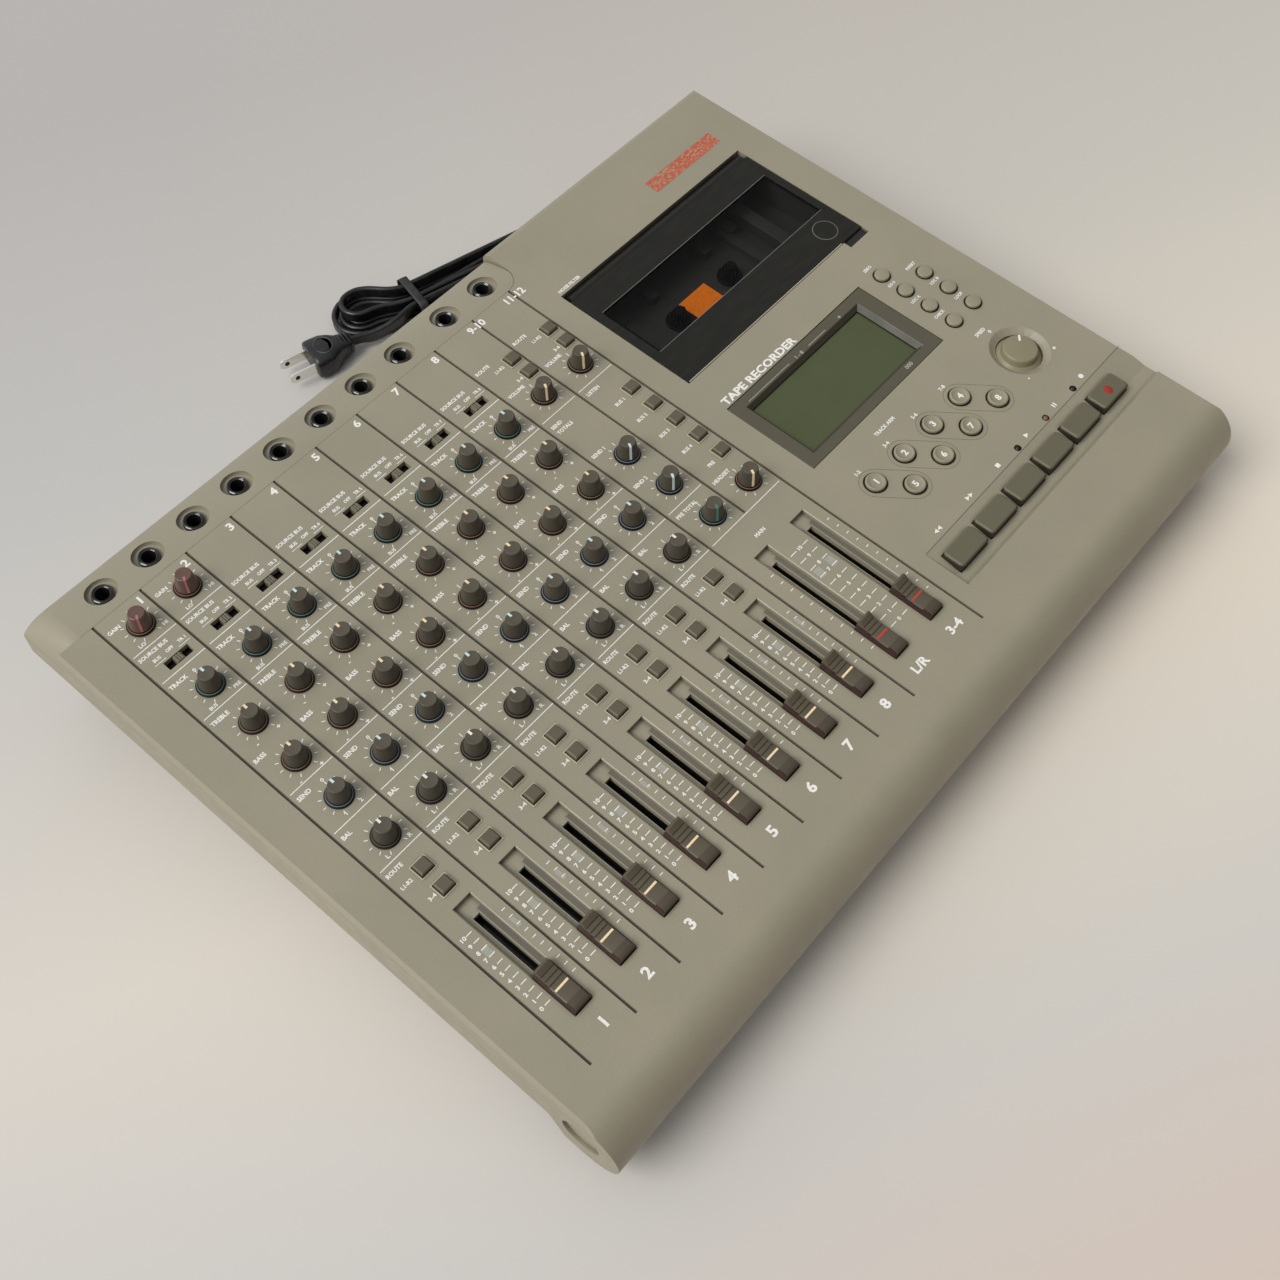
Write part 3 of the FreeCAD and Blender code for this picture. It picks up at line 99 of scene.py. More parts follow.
# Left end, right end and rear of the key trough.
TROUGH = (64.5, 236.0, -254.9)


def linear(red, green, blue):
    """A colour given as 0 to 255 on the screen, as the renderer wants it."""
    shades = [c / 255 for c in (red, green, blue)]
    return Vector([c / 12.92 if c <= 0.04045 else ((c + 0.055) / 1.055) ** 2.4 for c in shades])


def groove(index):
    return FIRST_GROOVE + index * PITCH


def at(x, y):
    """A place on the panel given in strips from the first groove and from the jack strip's crease."""
    return ((x - MIDDLE_STRIP) * PITCH, y * PITCH)


JACKS = [(u, JACK_ROW) for u in [groove(i) + JACK_ASIDE for i in range(CHANNELS)] + [*STEREO_JACKS]]


# Materials


def blank(name):
    material = bpy.data.materials.new(name)
    material.use_nodes = True
    tree = material.node_tree
    return material, tree, tree.nodes["Principled BSDF"]


def feed(tree, node, inputs):
    """Gives each named input its value, or joins it to another node's output."""
    for name, value in inputs.items():
        if isinstance(value, bpy.types.NodeSocket):
            tree.links.new(value, node.inputs[name])
        else:
            node.inputs[name].default_value = value


def added(tree, kind, inputs, **settings):
    node = tree.nodes.new("ShaderNode" + kind)
    for name, value in settings.items():
        setattr(node, name, value)
    feed(tree, node, inputs)
    return node.outputs


def cloud(tree, size, detail=3.0, stretch=(1, 1, 1)):
    """Noise over the object, with spots about size millimetres across."""
    place = added(tree, "TexCoord", {})["Object"]
    place = added(tree, "Mapping", {"Vector": place, "Scale": stretch})["Vector"]
    return added(tree, "TexNoise", {"Vector": place, "Scale": 1 / (size * MM), "Detail": detail})["Fac"]


def ramp(tree, value, stops):
    node = tree.nodes.new("ShaderNodeValToRGB")
    parts = node.color_ramp.elements
    for i, (where, colour) in enumerate(stops):
        part = parts[i] if i < 2 else parts.new(where)
        part.position = where
        part.color = (*colour, 1)
    feed(tree, node, {"Fac": value})
    return node.outputs["Color"]


def grey_ramp(tree, value, low, dark, high, bright):
    return ramp(tree, value, [(low, (dark,) * 3), (high, (bright,) * 3)])


def span(tree, value, low, high, start=0.3, end=0.7):
    """A value moved from the range between start and end to the one between low and high."""
    ends = {"Value": value, "From Min": start, "From Max": end, "To Min": low, "To Max": high}
    return added(tree, "MapRange", ends)["Result"]


def mixed(tree, share, first, second, way="MIX"):
    first, second = [c if isinstance(c, bpy.types.NodeSocket) else (*c, 1) for c in (first, second)]
    return added(tree, "Mix", {0: share, 6: first, 7: second}, data_type="RGBA", blend_type=way)[2]


def weighted(tree, value, factor, plus=0.0):
    """A value times a factor, with another value added to it where one is given."""
    return added(tree, "Math", {0: value, 1: factor, 2: plus}, operation="MULTIPLY_ADD")["Value"]


def facing(tree, value, direction):
    """How far a direction of the shader agrees with a fixed one."""
    return added(tree, "VectorMath", {0: value, 1: direction}, operation="DOT_PRODUCT")["Value"]


def bumped(tree, shader, value, height):
    bump = added(tree, "Bump", {"Strength": 1.0, "Distance": height * MM, "Height": value})
    feed(tree, shader, {"Normal": bump["Normal"]})


def coat(tree, shader, colour, gloss, low, high, **more):
    """Gives a shader its colour, an uneven roughness between two values, and plain values by name."""
    feed(tree, shader, {"Base Color": colour, "Roughness": span(tree, gloss, low, high)})
    feed(tree, shader, {name.replace("_", " "): value for name, value in more.items()})


def crevice(tree, reach):
    """How open a point is, from 0 in a corner to 1 in the open."""
    return added(tree, "AmbientOcclusion", {"Distance": reach * MM}, samples=3)["AO"]


def moulded(name, colour, rough=0.5, mottle=0.05, grain=0.35, height=0.02, corner_shade_and_dirt=None, specular=0.5):
    """Moulded plastic: mottled colour, fine grain, uneven gloss, and painted corner shade with dirt where
    asked for.
    """
    material, tree, shader = blank(name)
    base = linear(*colour)
    shade = ramp(tree, cloud(tree, 40, 4), [(0.3, base * (1 - mottle)), (0.7, base * (1 + mottle))])
    fine = cloud(tree, grain, 2)
    shade = mixed(tree, 1.0, shade, grey_ramp(tree, fine, 0.25, 0.9, 0.75, 1.08), "MULTIPLY")
    if corner_shade_and_dirt:
        # Painted shade with dirt: the colour turns a darker brown where the surface is hemmed in, in corners
        # and creases.
        near = span(tree, crevice(tree, 2.5), 0.8, 0.0, 0.25, 0.9)
        shade = mixed(tree, near, shade, linear(*corner_shade_and_dirt))
    coat(tree, shader, shade, cloud(tree, 9, 3), rough - 0.07, rough + 0.07, Specular_IOR_Level=specular)
    bumped(tree, shader, fine, height)
    return material


def painted(name, colour, rough=0.6):
    """Screen-printed ink: slightly patchy, with pinholes in its cover."""
    material, tree, shader = blank(name)
    base = linear(*colour)
    shade = ramp(tree, cloud(tree, 0.7, 3), [(0.3, base * 0.82), (0.6, base)])
    coat(tree, shader, shade, cloud(tree, 3), rough - 0.1, rough + 0.1)
    bumped(tree, shader, cloud(tree, 0.2), 0.01)
    return material


def metallic(name, colour, rough=0.3, scratch=0.5):
    material, tree, shader = blank(name)
    base = linear(*colour)
    streaks = cloud(tree, scratch, 3, (1, 6, 6))
    shade = ramp(tree, streaks, [(0.3, base * 0.8), (0.7, base * 1.1)])
    coat(tree, shader, shade, streaks, rough - 0.08, rough + 0.1, Metallic=1.0)
    bumped(tree, shader, streaks, 0.01)
    return material


def rubbery(name, colour, rough=0.62):
    """Dark rubber with a little dust on it."""
    material, tree, shader = blank(name)
    base = linear(*colour)
    shade = ramp(tree, cloud(tree, 6, 5), [(0.35, base), (0.75, base * 1.7 + Vector((0.01,) * 3))])
    coat(tree, shader, shade, cloud(tree, 2), rough - 0.1, rough + 0.1)
    bumped(tree, shader, cloud(tree, 0.5), 0.03)
    return material


def smoked(name, colour, alpha):
    """Smoked clear plastic with a few pale streaks."""
    material, tree, shader = blank(name)
    base = linear(*colour)
    streaks = cloud(tree, 14, 4, (1, 5, 1))
    shade = ramp(tree, streaks, [(0.45, base), (0.8, base * 1.4)])
    coat(tree, shader, shade, streaks, 0.1, 0.22, Alpha=alpha, Specular_IOR_Level=0.2)
    return material


def liquid_crystal(name):
    """A display that is switched off: grey-green and finely mottled."""
    material, tree, shader = blank(name)
    base = linear(77, 83, 54)
    shade = ramp(tree, cloud(tree, 30, 3), [(0.3, base * 0.94), (0.7, base * 1.06)])
    shade = mixed(tree, 1.0, shade, grey_ramp(tree, cloud(tree, 0.5), 0.3, 0.93, 0.7, 1.05), "MULTIPLY")
    coat(tree, shader, shade, cloud(tree, 10), 0.16, 0.26, Specular_IOR_Level=0.35)
    return material


def worn_strip(name):
    """A plain orange-red name plate place, rubbed through to the plastic in patches."""
    material, tree, shader = blank(name)
    red = linear(186, 92, 66)
    pale = linear(158, 140, 112)
    flecks = cloud(tree, 1.6, 6, (0.8, 1.3, 1))
    shade = ramp(tree, flecks, [(0.40, red * 0.9), (0.52, red), (0.60, pale), (0.7, pale * 1.05)])
    coat(tree, shader, shade, flecks, 0.45, 0.7)
    bumped(tree, shader, flecks, 0.04)
    return material


def board_finish(name):
    """A green circuit board with paler copper tracks under its lacquer."""
    material, tree, shader = blank(name)
    lines = cloud(tree, 3, 1, (1, 0.2, 1))
    shade = ramp(tree, lines, [(0.48, linear(34, 62, 38)), (0.52, linear(62, 92, 52))])
    coat(tree, shader, shade, lines, 0.3, 0.5)
    return material


def darken_walls(material, colour):
    """Paints shade on the upright faces of a material's pieces, turning them darker as the shaded sides of a
    deep recess look.
    """
    tree = material.node_tree
    shader = tree.nodes["Principled BSDF"]
    shade = shader.inputs["Base Color"].links[0].from_socket
    upward = facing(tree, added(tree, "NewGeometry", {})["True Normal"], (0.0, -0.07, 0.998))
    level = span(tree, upward, 1.0, 0.0, 0.3, 0.9)
    feed(tree, shader, {"Base Color": mixed(tree, level, shade, linear(*colour))})
    return material


def glowing(name, colour, strength=0.0):
    """A coloured lens or bright ink, which may give off a little of its own colour."""
    material, tree, shader = blank(name)
    base = linear(*colour)
    shade = ramp(tree, cloud(tree, 1), [(0.3, base * 0.8), (0.7, base * 1.15)])
    coat(tree, shader, shade, cloud(tree, 2), 0.15, 0.3, Emission_Color=(*base, 1),
         Emission_Strength=strength)
    return material


# The case's last colour is the darker brown of its painted corner shade with dirt.
CASE = moulded("case_plastic", (149, 142, 122), 0.42, 0.04, 0.35, 0.03, (84, 74, 58))
STRIP = moulded("strip_plastic", (148, 141, 122), 0.42, 0.04, 0.35, 0.03)
BASE = moulded("base_plastic", (92, 88, 76), 0.6, 0.05, 0.6, 0.05)
BLACK = moulded("black_plastic", (24, 23, 22), 0.35, 0.08, 0.4, 0.01)
WELL = moulded("well_plastic", (66, 65, 60), 0.5, 0.1, 0.5, 0.02)
# The bezel's upright recess walls carry painted shade.
BEZEL = darken_walls(moulded("bezel_plastic", (84, 79, 64), 0.42, 0.04, 0.3, 0.012), (9, 9, 7))
HUB = moulded("hub_plastic", (9, 9, 9), 0.4, 0.05, 0.3, 0.01, specular=0.15)
KNOB = moulded("knob_plastic", (69, 63, 52), 0.5, 0.05, 0.25, 0.02)
KNOB_TOP = moulded("knob_top_plastic", (82, 75, 61), 0.6, 0.05, 0.3, 0.02)
TRIM = moulded("trim_plastic", (96, 70, 62), 0.35, 0.06, 0.3, 0.012)
BUTTON = moulded("button_plastic", (146, 139, 117), 0.24, 0.04, 0.3, 0.008)
ASSIGN = moulded("assign_plastic", (92, 85, 68), 0.45, 0.05, 0.3, 0.015)
# A pale colour for painted highlights on edges that catch the light.
EDGE_HIGHLIGHT = moulded("edge_highlight_plastic", (180, 172, 148), 0.4, 0.06, 0.3, 0.01)
KEY = moulded("key_plastic", (100, 95, 75), 0.45, 0.04, 0.3, 0.02)
# Painted shade for the keys' sides, which stand in the trough's shadow.
KEY_SIDE_SHADE = moulded("key_side_shade_plastic", (46, 42, 34), 0.4, 0.06, 0.3, 0.01)
CAP = moulded("cap_plastic", (86, 78, 62), 0.45, 0.06, 0.3, 0.02)
# The caps' lower sides: a dark red plastic, made darker still as painted shade of the gap round each cap.
CAP_FOOT_RED_AND_SHADE = moulded("cap_foot_red_and_shade_plastic", (50, 27, 22), 0.28, 0.1, 0.4, 0.006)
CAP_FRONT = moulded("cap_front_plastic", (74, 65, 52), 0.35, 0.06, 0.3, 0.012)
NUB = moulded("nub_plastic", (118, 111, 93), 0.42, 0.06, 0.3, 0.015)
DIAL = moulded("dial_plastic", (136, 128, 102), 0.3, 0.04, 0.3, 0.01)
# Near black for gaps, holes and slots: painted shade where the light does not reach.
GAP_SHADE = moulded("gap_shade_plastic", (20, 16, 13), 0.45, 0.1, 0.5, 0.01, specular=0.3)
TRACK = moulded("track_plastic", (104, 99, 88), 0.3, 0.08, 0.6, 0.01)
SHINY = moulded("nut_plastic", (26, 25, 23), 0.14, 0.1, 0.8, 0.004, specular=0.9)
NICKEL = metallic("nickel", (190, 186, 176), 0.28)
STEEL = metallic("steel", (170, 168, 162), 0.35)
BLADE = metallic("blade_brass", (236, 232, 224), 0.16, 0.8)
IRON = metallic("iron", (96, 94, 92), 0.5)
RUBBER = rubbery("rubber", (30, 29, 28))
CORD = rubbery("cord_rubber", (13, 12, 13), 0.36)
PLUG = rubbery("plug_rubber", (15, 15, 16), 0.3)
PLUG_PAD = moulded("plug_pad_plastic", (84, 82, 82), 0.3, 0.1, 0.5, 0.02)
BOARD = board_finish("board")
LID = smoked("lid_smoke", (34, 33, 29), 0.95)
PANE = smoked("pane_smoke", (9, 9, 8), 0.26)
LCD = liquid_crystal("display_glass")
BADGE = worn_strip("plate_place")
WHITE = painted("white_ink", (240, 238, 230))
PALE_BAR = painted("pale_ink", (164, 163, 150))
CREAM = painted("cream_ink", (246, 222, 180), 0.5)
SKY = painted("sky_ink", (206, 226, 226), 0.5)
TEAL = painted("teal_ink", (84, 124, 114), 0.3)
RED = painted("red_ink", (196, 58, 50), 0.4)
SPOT = painted("spot_ink", (150, 52, 34), 0.5)
BROWN = painted("brown_ink", (132, 96, 76), 0.3)
BLUE = painted("blue_ink", (104, 118, 134), 0.3)
ROSE = painted("rose_ink", (176, 112, 106), 0.3)
# The orange square has a painted glow of its own colour, to show bright through the smoked pane.
ORANGE_GLOW = glowing("orange_ink_glowing", (255, 130, 0), 0.3)
HAIRLINE = painted("hairline_ink", (122, 121, 114), 0.4)
# Painted shade laid on the floors of the panel's grooves.
GROOVE_SHADE = painted("groove_shade_ink", (60, 54, 44), 0.5)
# Painted shade for moulded creases and lines, drawn as flat dark strokes.
CREASE_SHADE = painted("crease_shade_ink", (104, 98, 80), 0.5)
AMBER = glowing("amber_lens", (128, 86, 44))
DARK_LENS = glowing("dark_lens", (40, 20, 14))


# Geometry


def rectangle(x, y, half_x, half_y):
    """Corners of a rectangle round a middle."""
    return [(x + a * half_x, y + b * half_y) for a, b in ((-1, -1), (1, -1), (1, 1), (-1, 1))]


def level(outline, height):
    """An outline of (u, v) pairs at one height."""
    return [Vector((*p, height)) for p in outline]


def section(outline, u):
    """An upright outline of (v, w) pairs at one u."""
    return [Vector((u, v, w)) for v, w in outline]


def circle(radius, count):
    """Points round a circle, as (x, y) pairs."""
    turns = [math.tau * k / count for k in range(count)]
    return [(radius * math.cos(turn), radius * math.sin(turn)) for turn in turns]


class Shape:
    """Faces in millimetres, gathered before they become one object."""

    def __init__(self):
        self.points = []
        self.faces = []
        self.paints = []

    def add(self, points, faces, paint=0):
        start = len(self.points)
        self.points += [Vector(p) for p in points]
        self.faces += [[start + i for i in face] for face in faces]
        self.paints += [paint] * len(faces)

    def face(self, points, paint=0):
        self.add(points, [list(range(len(points)))], paint)

    def lathe(self, middle, profile, sides=40, paint=0, axis=None):
        """A turned form from (radius, height) pairs; a third value paints the band that follows."""
        loops = [level(circle(radius, sides), height) for radius, height, *_ in profile]
        move = Matrix.Translation((*middle[:2], middle[2] if len(middle) > 2 else 0))
        if axis is not None:
            move = move @ Vector((0, 0, 1)).rotation_difference(Vector(axis)).to_matrix().to_4x4()
        for i in range(len(loops) - 1):
            band = profile[i][2] if len(profile[i]) > 2 else paint
            self.skin([move @ p for p in loops[i]], [move @ p for p in loops[i + 1]], band)

    def box(self, low, high, paint=0):
        xs, ys, zs = zip(low, high)
        points = [(x, y, z) for x in xs for y in ys for z in zs]
        faces = [(0, 1, 3, 2), (4, 6, 7, 5), (0, 4, 5, 1), (2, 3, 7, 6), (0, 2, 6, 4), (1, 5, 7, 3)]
        self.add(points, faces, paint)

    def skin(self, low, high, paint=0, closed=True):
        """Faces between two loops of the same count of points."""
        count = len(low)
        last = count if closed else count - 1
        faces = [[k, (k + 1) % count, count + (k + 1) % count, count + k] for k in range(last)]
        self.add(low + high, faces, paint)

    def loft(self, loops, paint=0, closed=True, ends=True):
        """Skin through loops of the same count of points."""
        for low, high in zip(loops[:-1], loops[1:]):
            self.skin(low, high, paint, closed)
        if ends:
            self.face(loops[0], paint)
            self.face(loops[-1], paint)

    def flat(self, outline, height=PRINT_LIFT, paint=0):
        """A flat print on the panel or on the sloping jack strip."""
        self.face([(u, v, height + ground(u, v)) for u, v in outline], paint)

    def bar(self, a, b, width, paint=0, height=PRINT_LIFT):
        a, b = Vector(a), Vector(b)
        side = Vector((a.y - b.y, b.x - a.x)).normalized() * (width / 2)
        self.flat([a - side, b - side, b + side, a + side], height, paint)


STRIP_CURVE = [(0.1, 0.0), (4.0, -0.15), (9.0, -0.75), (14.0, -1.65), (19.0, -2.85), (23.5, -4.25),
               (26.2, -5.5), (27.5, -6.6), (28.1, -8.2)]
PRINTED_STRIP = (-223.0, 64.3)


def strip_height(v):
    """Height of the rounded jack strip, whose fall grows towards the rear."""
    for (v0, w0), (v1, w1) in zip(STRIP_CURVE[:-1], STRIP_CURVE[1:]):
        if v <= v1:
            return w0 + (w1 - w0) * (v - v0) / (v1 - v0)
    return STRIP_CURVE[-1][1]


def ground(u, v):
    """Height of the surface that a print lies on."""
    left, right = PRINTED_STRIP
    return strip_height(v) if v > 0 and left < u < right else 0.0


def put(name, data):
    """A new object in the scene."""
    item = bpy.data.objects.new(name, data)
    bpy.context.scene.collection.objects.link(item)
    return item


def make(name, shape, materials, body="chassis", place=PANEL, sharp=32, bevel=0.0, replaces=None):
    """One object from a gathered shape, riding on its body; it stands in for a node where one is named."""
    mesh = bpy.data.meshes.new(name)
    mesh.from_pydata(shape.points, [], shape.faces)
    mesh.polygons.foreach_set("material_index", shape.paints)
    work = bmesh.new()
    work.from_mesh(mesh)
    bmesh.ops.remove_doubles(work, verts=work.verts, dist=0.0005)
    bmesh.ops.recalc_face_normals(work, faces=work.faces)
    work.to_mesh(mesh)
    work.free()
    mesh.transform(place)
    for material in materials if isinstance(materials, (list, tuple)) else [materials]:
        mesh.materials.append(material)
    mesh.polygons.foreach_set("use_smooth", [True] * len(mesh.polygons))
    mesh.set_sharp_from_angle(angle=math.radians(sharp))
    piece = put(name, mesh)
    if bevel:
        soften(piece, bevel)
    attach(piece, body)
    if replaces:
        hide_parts(replaces)
    return piece


def soften(piece, width, segments=2, weld=False, cutter=None):
    """Rounds the sharp edges of a piece, or of a CAD node once its facets are welded."""
    if weld:
        piece.modifiers.new("weld", "WELD").merge_threshold = 0.00001
        if cutter:
            cut_with(piece, cutter)
        merge = piece.modifiers.new("planes", "DECIMATE")
        merge.decimate_type = "DISSOLVE"
        merge.angle_limit = math.radians(0.6)
    edge = piece.modifiers.new("edges", "BEVEL")
    edge.width = width * MM
    edge.segments = segments
    edge.limit_method = "ANGLE"
    edge.angle_limit = math.radians(40)
    edge.harden_normals = True
    edge.use_clamp_overlap = True
    if weld:
        piece.modifiers.new("shading", "WEIGHTED_NORMAL").keep_sharp = True


def cut_with(piece, cutter):
    cutter.hide_render = True
    cut = piece.modifiers.new("cut", "BOOLEAN")
    cut.operation = "DIFFERENCE"
    cut.solver = "EXACT"
    cut.object = cutter


def dress(node, material, width=0.0, segments=2, cutter=None):
    """A finish for a CAD node, and softly rounded edges where a width is given."""
    piece = nodes[node]
    if not piece.material_slots:
        piece.data.materials.append(material)
    for slot in piece.material_slots:
        slot.material = material
    if width:
        soften(piece, width, segments, True, cutter)


glyphs = {}


def glyph(text):
    """Flat points and faces of a short run of plain letters or figures, one unit high."""
    if text not in glyphs:
        curve = bpy.data.curves.new("lettering", "FONT")
        curve.body = text
        curve.resolution_u = 2
        curve.offset = 0.036
        letters = put("lettering", curve)
        bpy.context.view_layer.update()
        mesh = bpy.data.meshes.new_from_object(letters)
        glyphs[text] = ([v.co.xy.copy() for v in mesh.vertices], [list(p.vertices) for p in mesh.polygons])
        bpy.data.objects.remove(letters)
        bpy.data.meshes.remove(mesh)
    return glyphs[text]


def write(shape, text, place, height, middle=0.5, wide=1.12, lift=PRINT_LIFT):
    """Figures or letters, height millimetres tall; middle is 0 for left-aligned, 0.5 for centred."""
    points, faces = glyph(text)
    scale = height / 0.70
    width = max(p.x for p in points)
    moved = []
    for p in points:
        u = place[0] + (p.x - width * middle) * scale * wide
        v = place[1] + (p.y - 0.35) * scale
        moved.append((u, v, lift + ground(u, v)))
    shape.add(moved, faces)


# Camera, floor and light


def set_camera():
    data = bpy.data.cameras.new("photo_camera")
    data.lens = 43.97
    data.sensor_width = 36.0
    data.clip_start = 0.02
    data.clip_end = 20.0
    camera = put("photo_camera", data)
    right = Vector((0.64869, -0.76087, -0.01678))
    up = Vector((0.64350, 0.53658, 0.54588))
    back = Vector((-0.40634, -0.36491, 0.83769))
    place = Vector((-343.88, -297.48, 645.97)) * MM
    camera.matrix_world = Matrix([(right[i], up[i], back[i], place[i]) for i in range(3)] + [(0, 0, 0, 1)])
    bpy.context.scene.camera = camera


def floor_material():
    """Pale paper painted with the room's uneven light: its tone drifts across the picture, and it is a little
    cooler at its left.
    """
    material, tree, shader = blank("floor_paper")
    apart = added(tree, "SeparateXYZ", {"Vector": added(tree, "TexCoord", {})["Object"]})
    x, y = apart["X"], apart["Y"]
    # Painted light: the paper's brightness rises and falls across the floor as the room's light does.
    shade = ramp(tree, span(tree, weighted(tree, x, 0.5, y), 1.0, 0.0, -0.6, 0.6),
                 [(0.06, linear(186, 179, 171)), (0.95, linear(211, 188, 174)), (0.34, linear(197, 192, 183)),
                  (0.6, linear(221, 211, 196)), (0.76, linear(205, 200, 193))])
    aside = weighted(tree, x, 0.85, weighted(tree, y, -1.0))
    tint = ramp(tree, span(tree, aside, 0.0, 1.0, -0.45, 0.2),
                [(0.0, (0.95, 0.98, 1.05)), (1.0, (1.0, 1.0, 1.0))])
    feed(tree, shader, {"Base Color": mixed(tree, 1.0, shade, tint, "MULTIPLY"), "Roughness": 0.8,
                        "Specular IOR Level": 0.2})
    bumped(tree, shader, cloud(tree, 1.0), 0.01)
    return material


def room_light(tree):
    """A soft room, brighter from the window's side and above than from the front right."""
    toward = facing(tree, added(tree, "TexCoord", {})["Generated"], (-0.50, 0.60, 0.62))
    shade = ramp(tree, span(tree, toward, 0.0, 1.0, -0.5, 1.0),
                 [(0.0, (0.10, 0.095, 0.09)), (1.0, (0.92, 0.95, 0.98))])
    feed(tree, tree.nodes["Background"], {"Color": shade, "Strength": 0.85})


def set_floor_and_light():
    mesh = bpy.data.meshes.new("floor")
    mesh.from_pydata([(x, y, 0) for x, y in rectangle(0, 0, 4, 4)], [], [(0, 1, 2, 3)])
    mesh.materials.append(floor_material())
    put("floor", mesh)
    world = bpy.data.worlds.new("studio")
    world.use_nodes = True
    bpy.context.scene.world = world
    room_light(world.node_tree)
    lamp = bpy.data.lights.new("window", "SUN")
    lamp.energy = 2.1
    lamp.angle = math.radians(36)
    lamp.color = (1.0, 0.985, 0.955)
    put("window", lamp).rotation_euler = Vector((-0.62, 0.20, 0.76)).to_track_quat("Z", "Y").to_euler()
    bpy.context.scene.view_settings.view_transform = "Standard"


# The mains lead

# Width and thickness of the flat lead, its place on the rear wall, and the folded hank behind the case.
CORD_SIZE = (6.5, 3.3)
RELIEF = (214.0, 26.0)
RELIEF_TIP = REAR_WALL + 9.0
HANK_TURN = math.radians(-15.0)
HANK_LEFT = (31.4, 237.5)
HANK_RIGHT_END = 115.0
HANK = Matrix.Translation(Vector((*HANK_LEFT, 0)) * MM) @ Matrix.Rotation(HANK_TURN, 4, "Z") @ ROW
STRAND_FIRST = 2.4
STRAND_STEP = 4.2
NEAR_FLARE = 6.0
FAR_FLARE = 13.6
WAIST = 29.0
PLUG_REAR = -16.0
PLUG_ASIDE = -8.0
PLUG_MIDDLE = 7.6
BLADE_SPACING = 12.7
BLADE_LENGTH = 16.0
LOW, HIGH = 4.45, 11.55


def from_hank(x, y, z):
    c, s = math.cos(HANK_TURN), math.sin(HANK_TURN)
    return Vector((HANK_LEFT[0] + x * c - y * s, HANK_LEFT[1] + x * s + y * c, z))


def strand_place(side, index, flared):
    """How far across the hank a strand runs; at the left end the strands spread out."""
    spread = NEAR_FLARE if side < 0 else FAR_FLARE
    return side * (STRAND_FIRST + STRAND_STEP * index) + (spread if flared else 0.0)


def hank_corners():
    """Corners of the mains lead's route through its hank, from the right end inwards to the plug."""
    near, far = -1, 1
    strands = [(near, 2.5, LOW, LOW), (far, 2, LOW, LOW), (near, 1.5, LOW, LOW), (far, 1, LOW, LOW),
               (near, 0.5, LOW, LOW), (far, 0, LOW, HIGH), (near, 0.5, HIGH, HIGH), (far, 1, HIGH, HIGH),
               (near, 1.5, HIGH, HIGH)]
    route = []
    for i, (side, index, z_left, z_right) in enumerate(strands):
        y = strand_place(side, index, False)
        run = [(7.0, strand_place(side, index, True), z_left), (22.0, y, z_left), (37.0, y, z_left),
               (HANK_RIGHT_END - 8, y, z_right)]
        if i == len(strands) - 1:
            run = run[1:]
        route += run if side == far else run[::-1]
        if i + 1 < len(strands):
            route += turn_corners(strands[i], strands[i + 1])
    route += [(12.0, -13.5, HIGH), (-3.0, -11.3, PLUG_MIDDLE), (-12.5, -8.0, PLUG_MIDDLE),
              (PLUG_REAR, PLUG_ASIDE, PLUG_MIDDLE)]
    return [from_hank(*p) for p in route]


def turn_corners(here, there):
    """Four corners of a half turn between two strands, round the left or the right end."""
    at_left = here[0] < 0
    start, stop = [strand_place(side, index, at_left) for side, index, *_ in (here, there)]
    middle, radius = (start + stop) / 2, (stop - start) / 2
    x, z, way = (0.0, here[2], -1) if at_left else (HANK_RIGHT_END, here[3], 1)
    reach = abs(radius) / math.cos(math.radians(22.5))
    turns = [math.radians(a) for a in (-67.5, -22.5, 22.5, 67.5)]
    up = math.copysign(1, radius)
    return [(x + way * reach * math.cos(a), middle + up * reach * math.sin(a), z) for a in turns]


def lead_corners():
    """Corners of the lead's route from its hank up to the strain relief."""
    x, z = RELIEF
    return [from_hank(142.0, -12.9, LOW), Vector((x - 31, RELIEF_TIP + 14, 6.0)),
            Vector((x - 17, RELIEF_TIP + 30, 15.0)), Vector((x, RELIEF_TIP + 22, z - 0.5)),
            Vector((x, RELIEF_TIP, z))]


def flat_profile():
    """The lead's section: two round cores side by side, moulded in one."""
    curve = bpy.data.curves.new("cord_profile", "CURVE")
    spline = curve.splines.new("POLY")
    r, half = CORD_SIZE[1] / 2, CORD_SIZE[0] / 2 - CORD_SIZE[1] / 2
    points = []
    for x, y in circle(1.0, 20):
        points.append((r * x * (0.82 if abs(y) < 0.2 else 1.0), (half if y > 0 else -half) + r * y))
    spline.points.add(len(points) - 1)
    for point, (x, y) in zip(spline.points, points):
        point.co = (x * MM, y * MM, 0, 1)
    spline.use_cyclic_u = True
    profile = put("cord_profile", curve)
    profile.hide_render = True
    return profile


def mains_lead():
    route = lead_corners()[::-1] + hank_corners()
    curve = bpy.data.curves.new("mains_lead", "CURVE")
    curve.dimensions = "3D"
    curve.twist_mode = "Z_UP"
    curve.resolution_u = 6
    spline = curve.splines.new("NURBS")
    spline.points.add(len(route) - 1)
    for point, place in zip(spline.points, route):
        point.co = (*(place * MM), 1)
    spline.order_u = 3
    spline.use_endpoint_u = True
    curve.bevel_mode = "OBJECT"
    curve.bevel_object = flat_profile()
    curve.use_fill_caps = True
    curve.materials.append(CORD)
    lead = put("mains_lead", curve)
    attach(lead, "chassis")
    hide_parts("cord_lead", "cord_hank")
    return lead


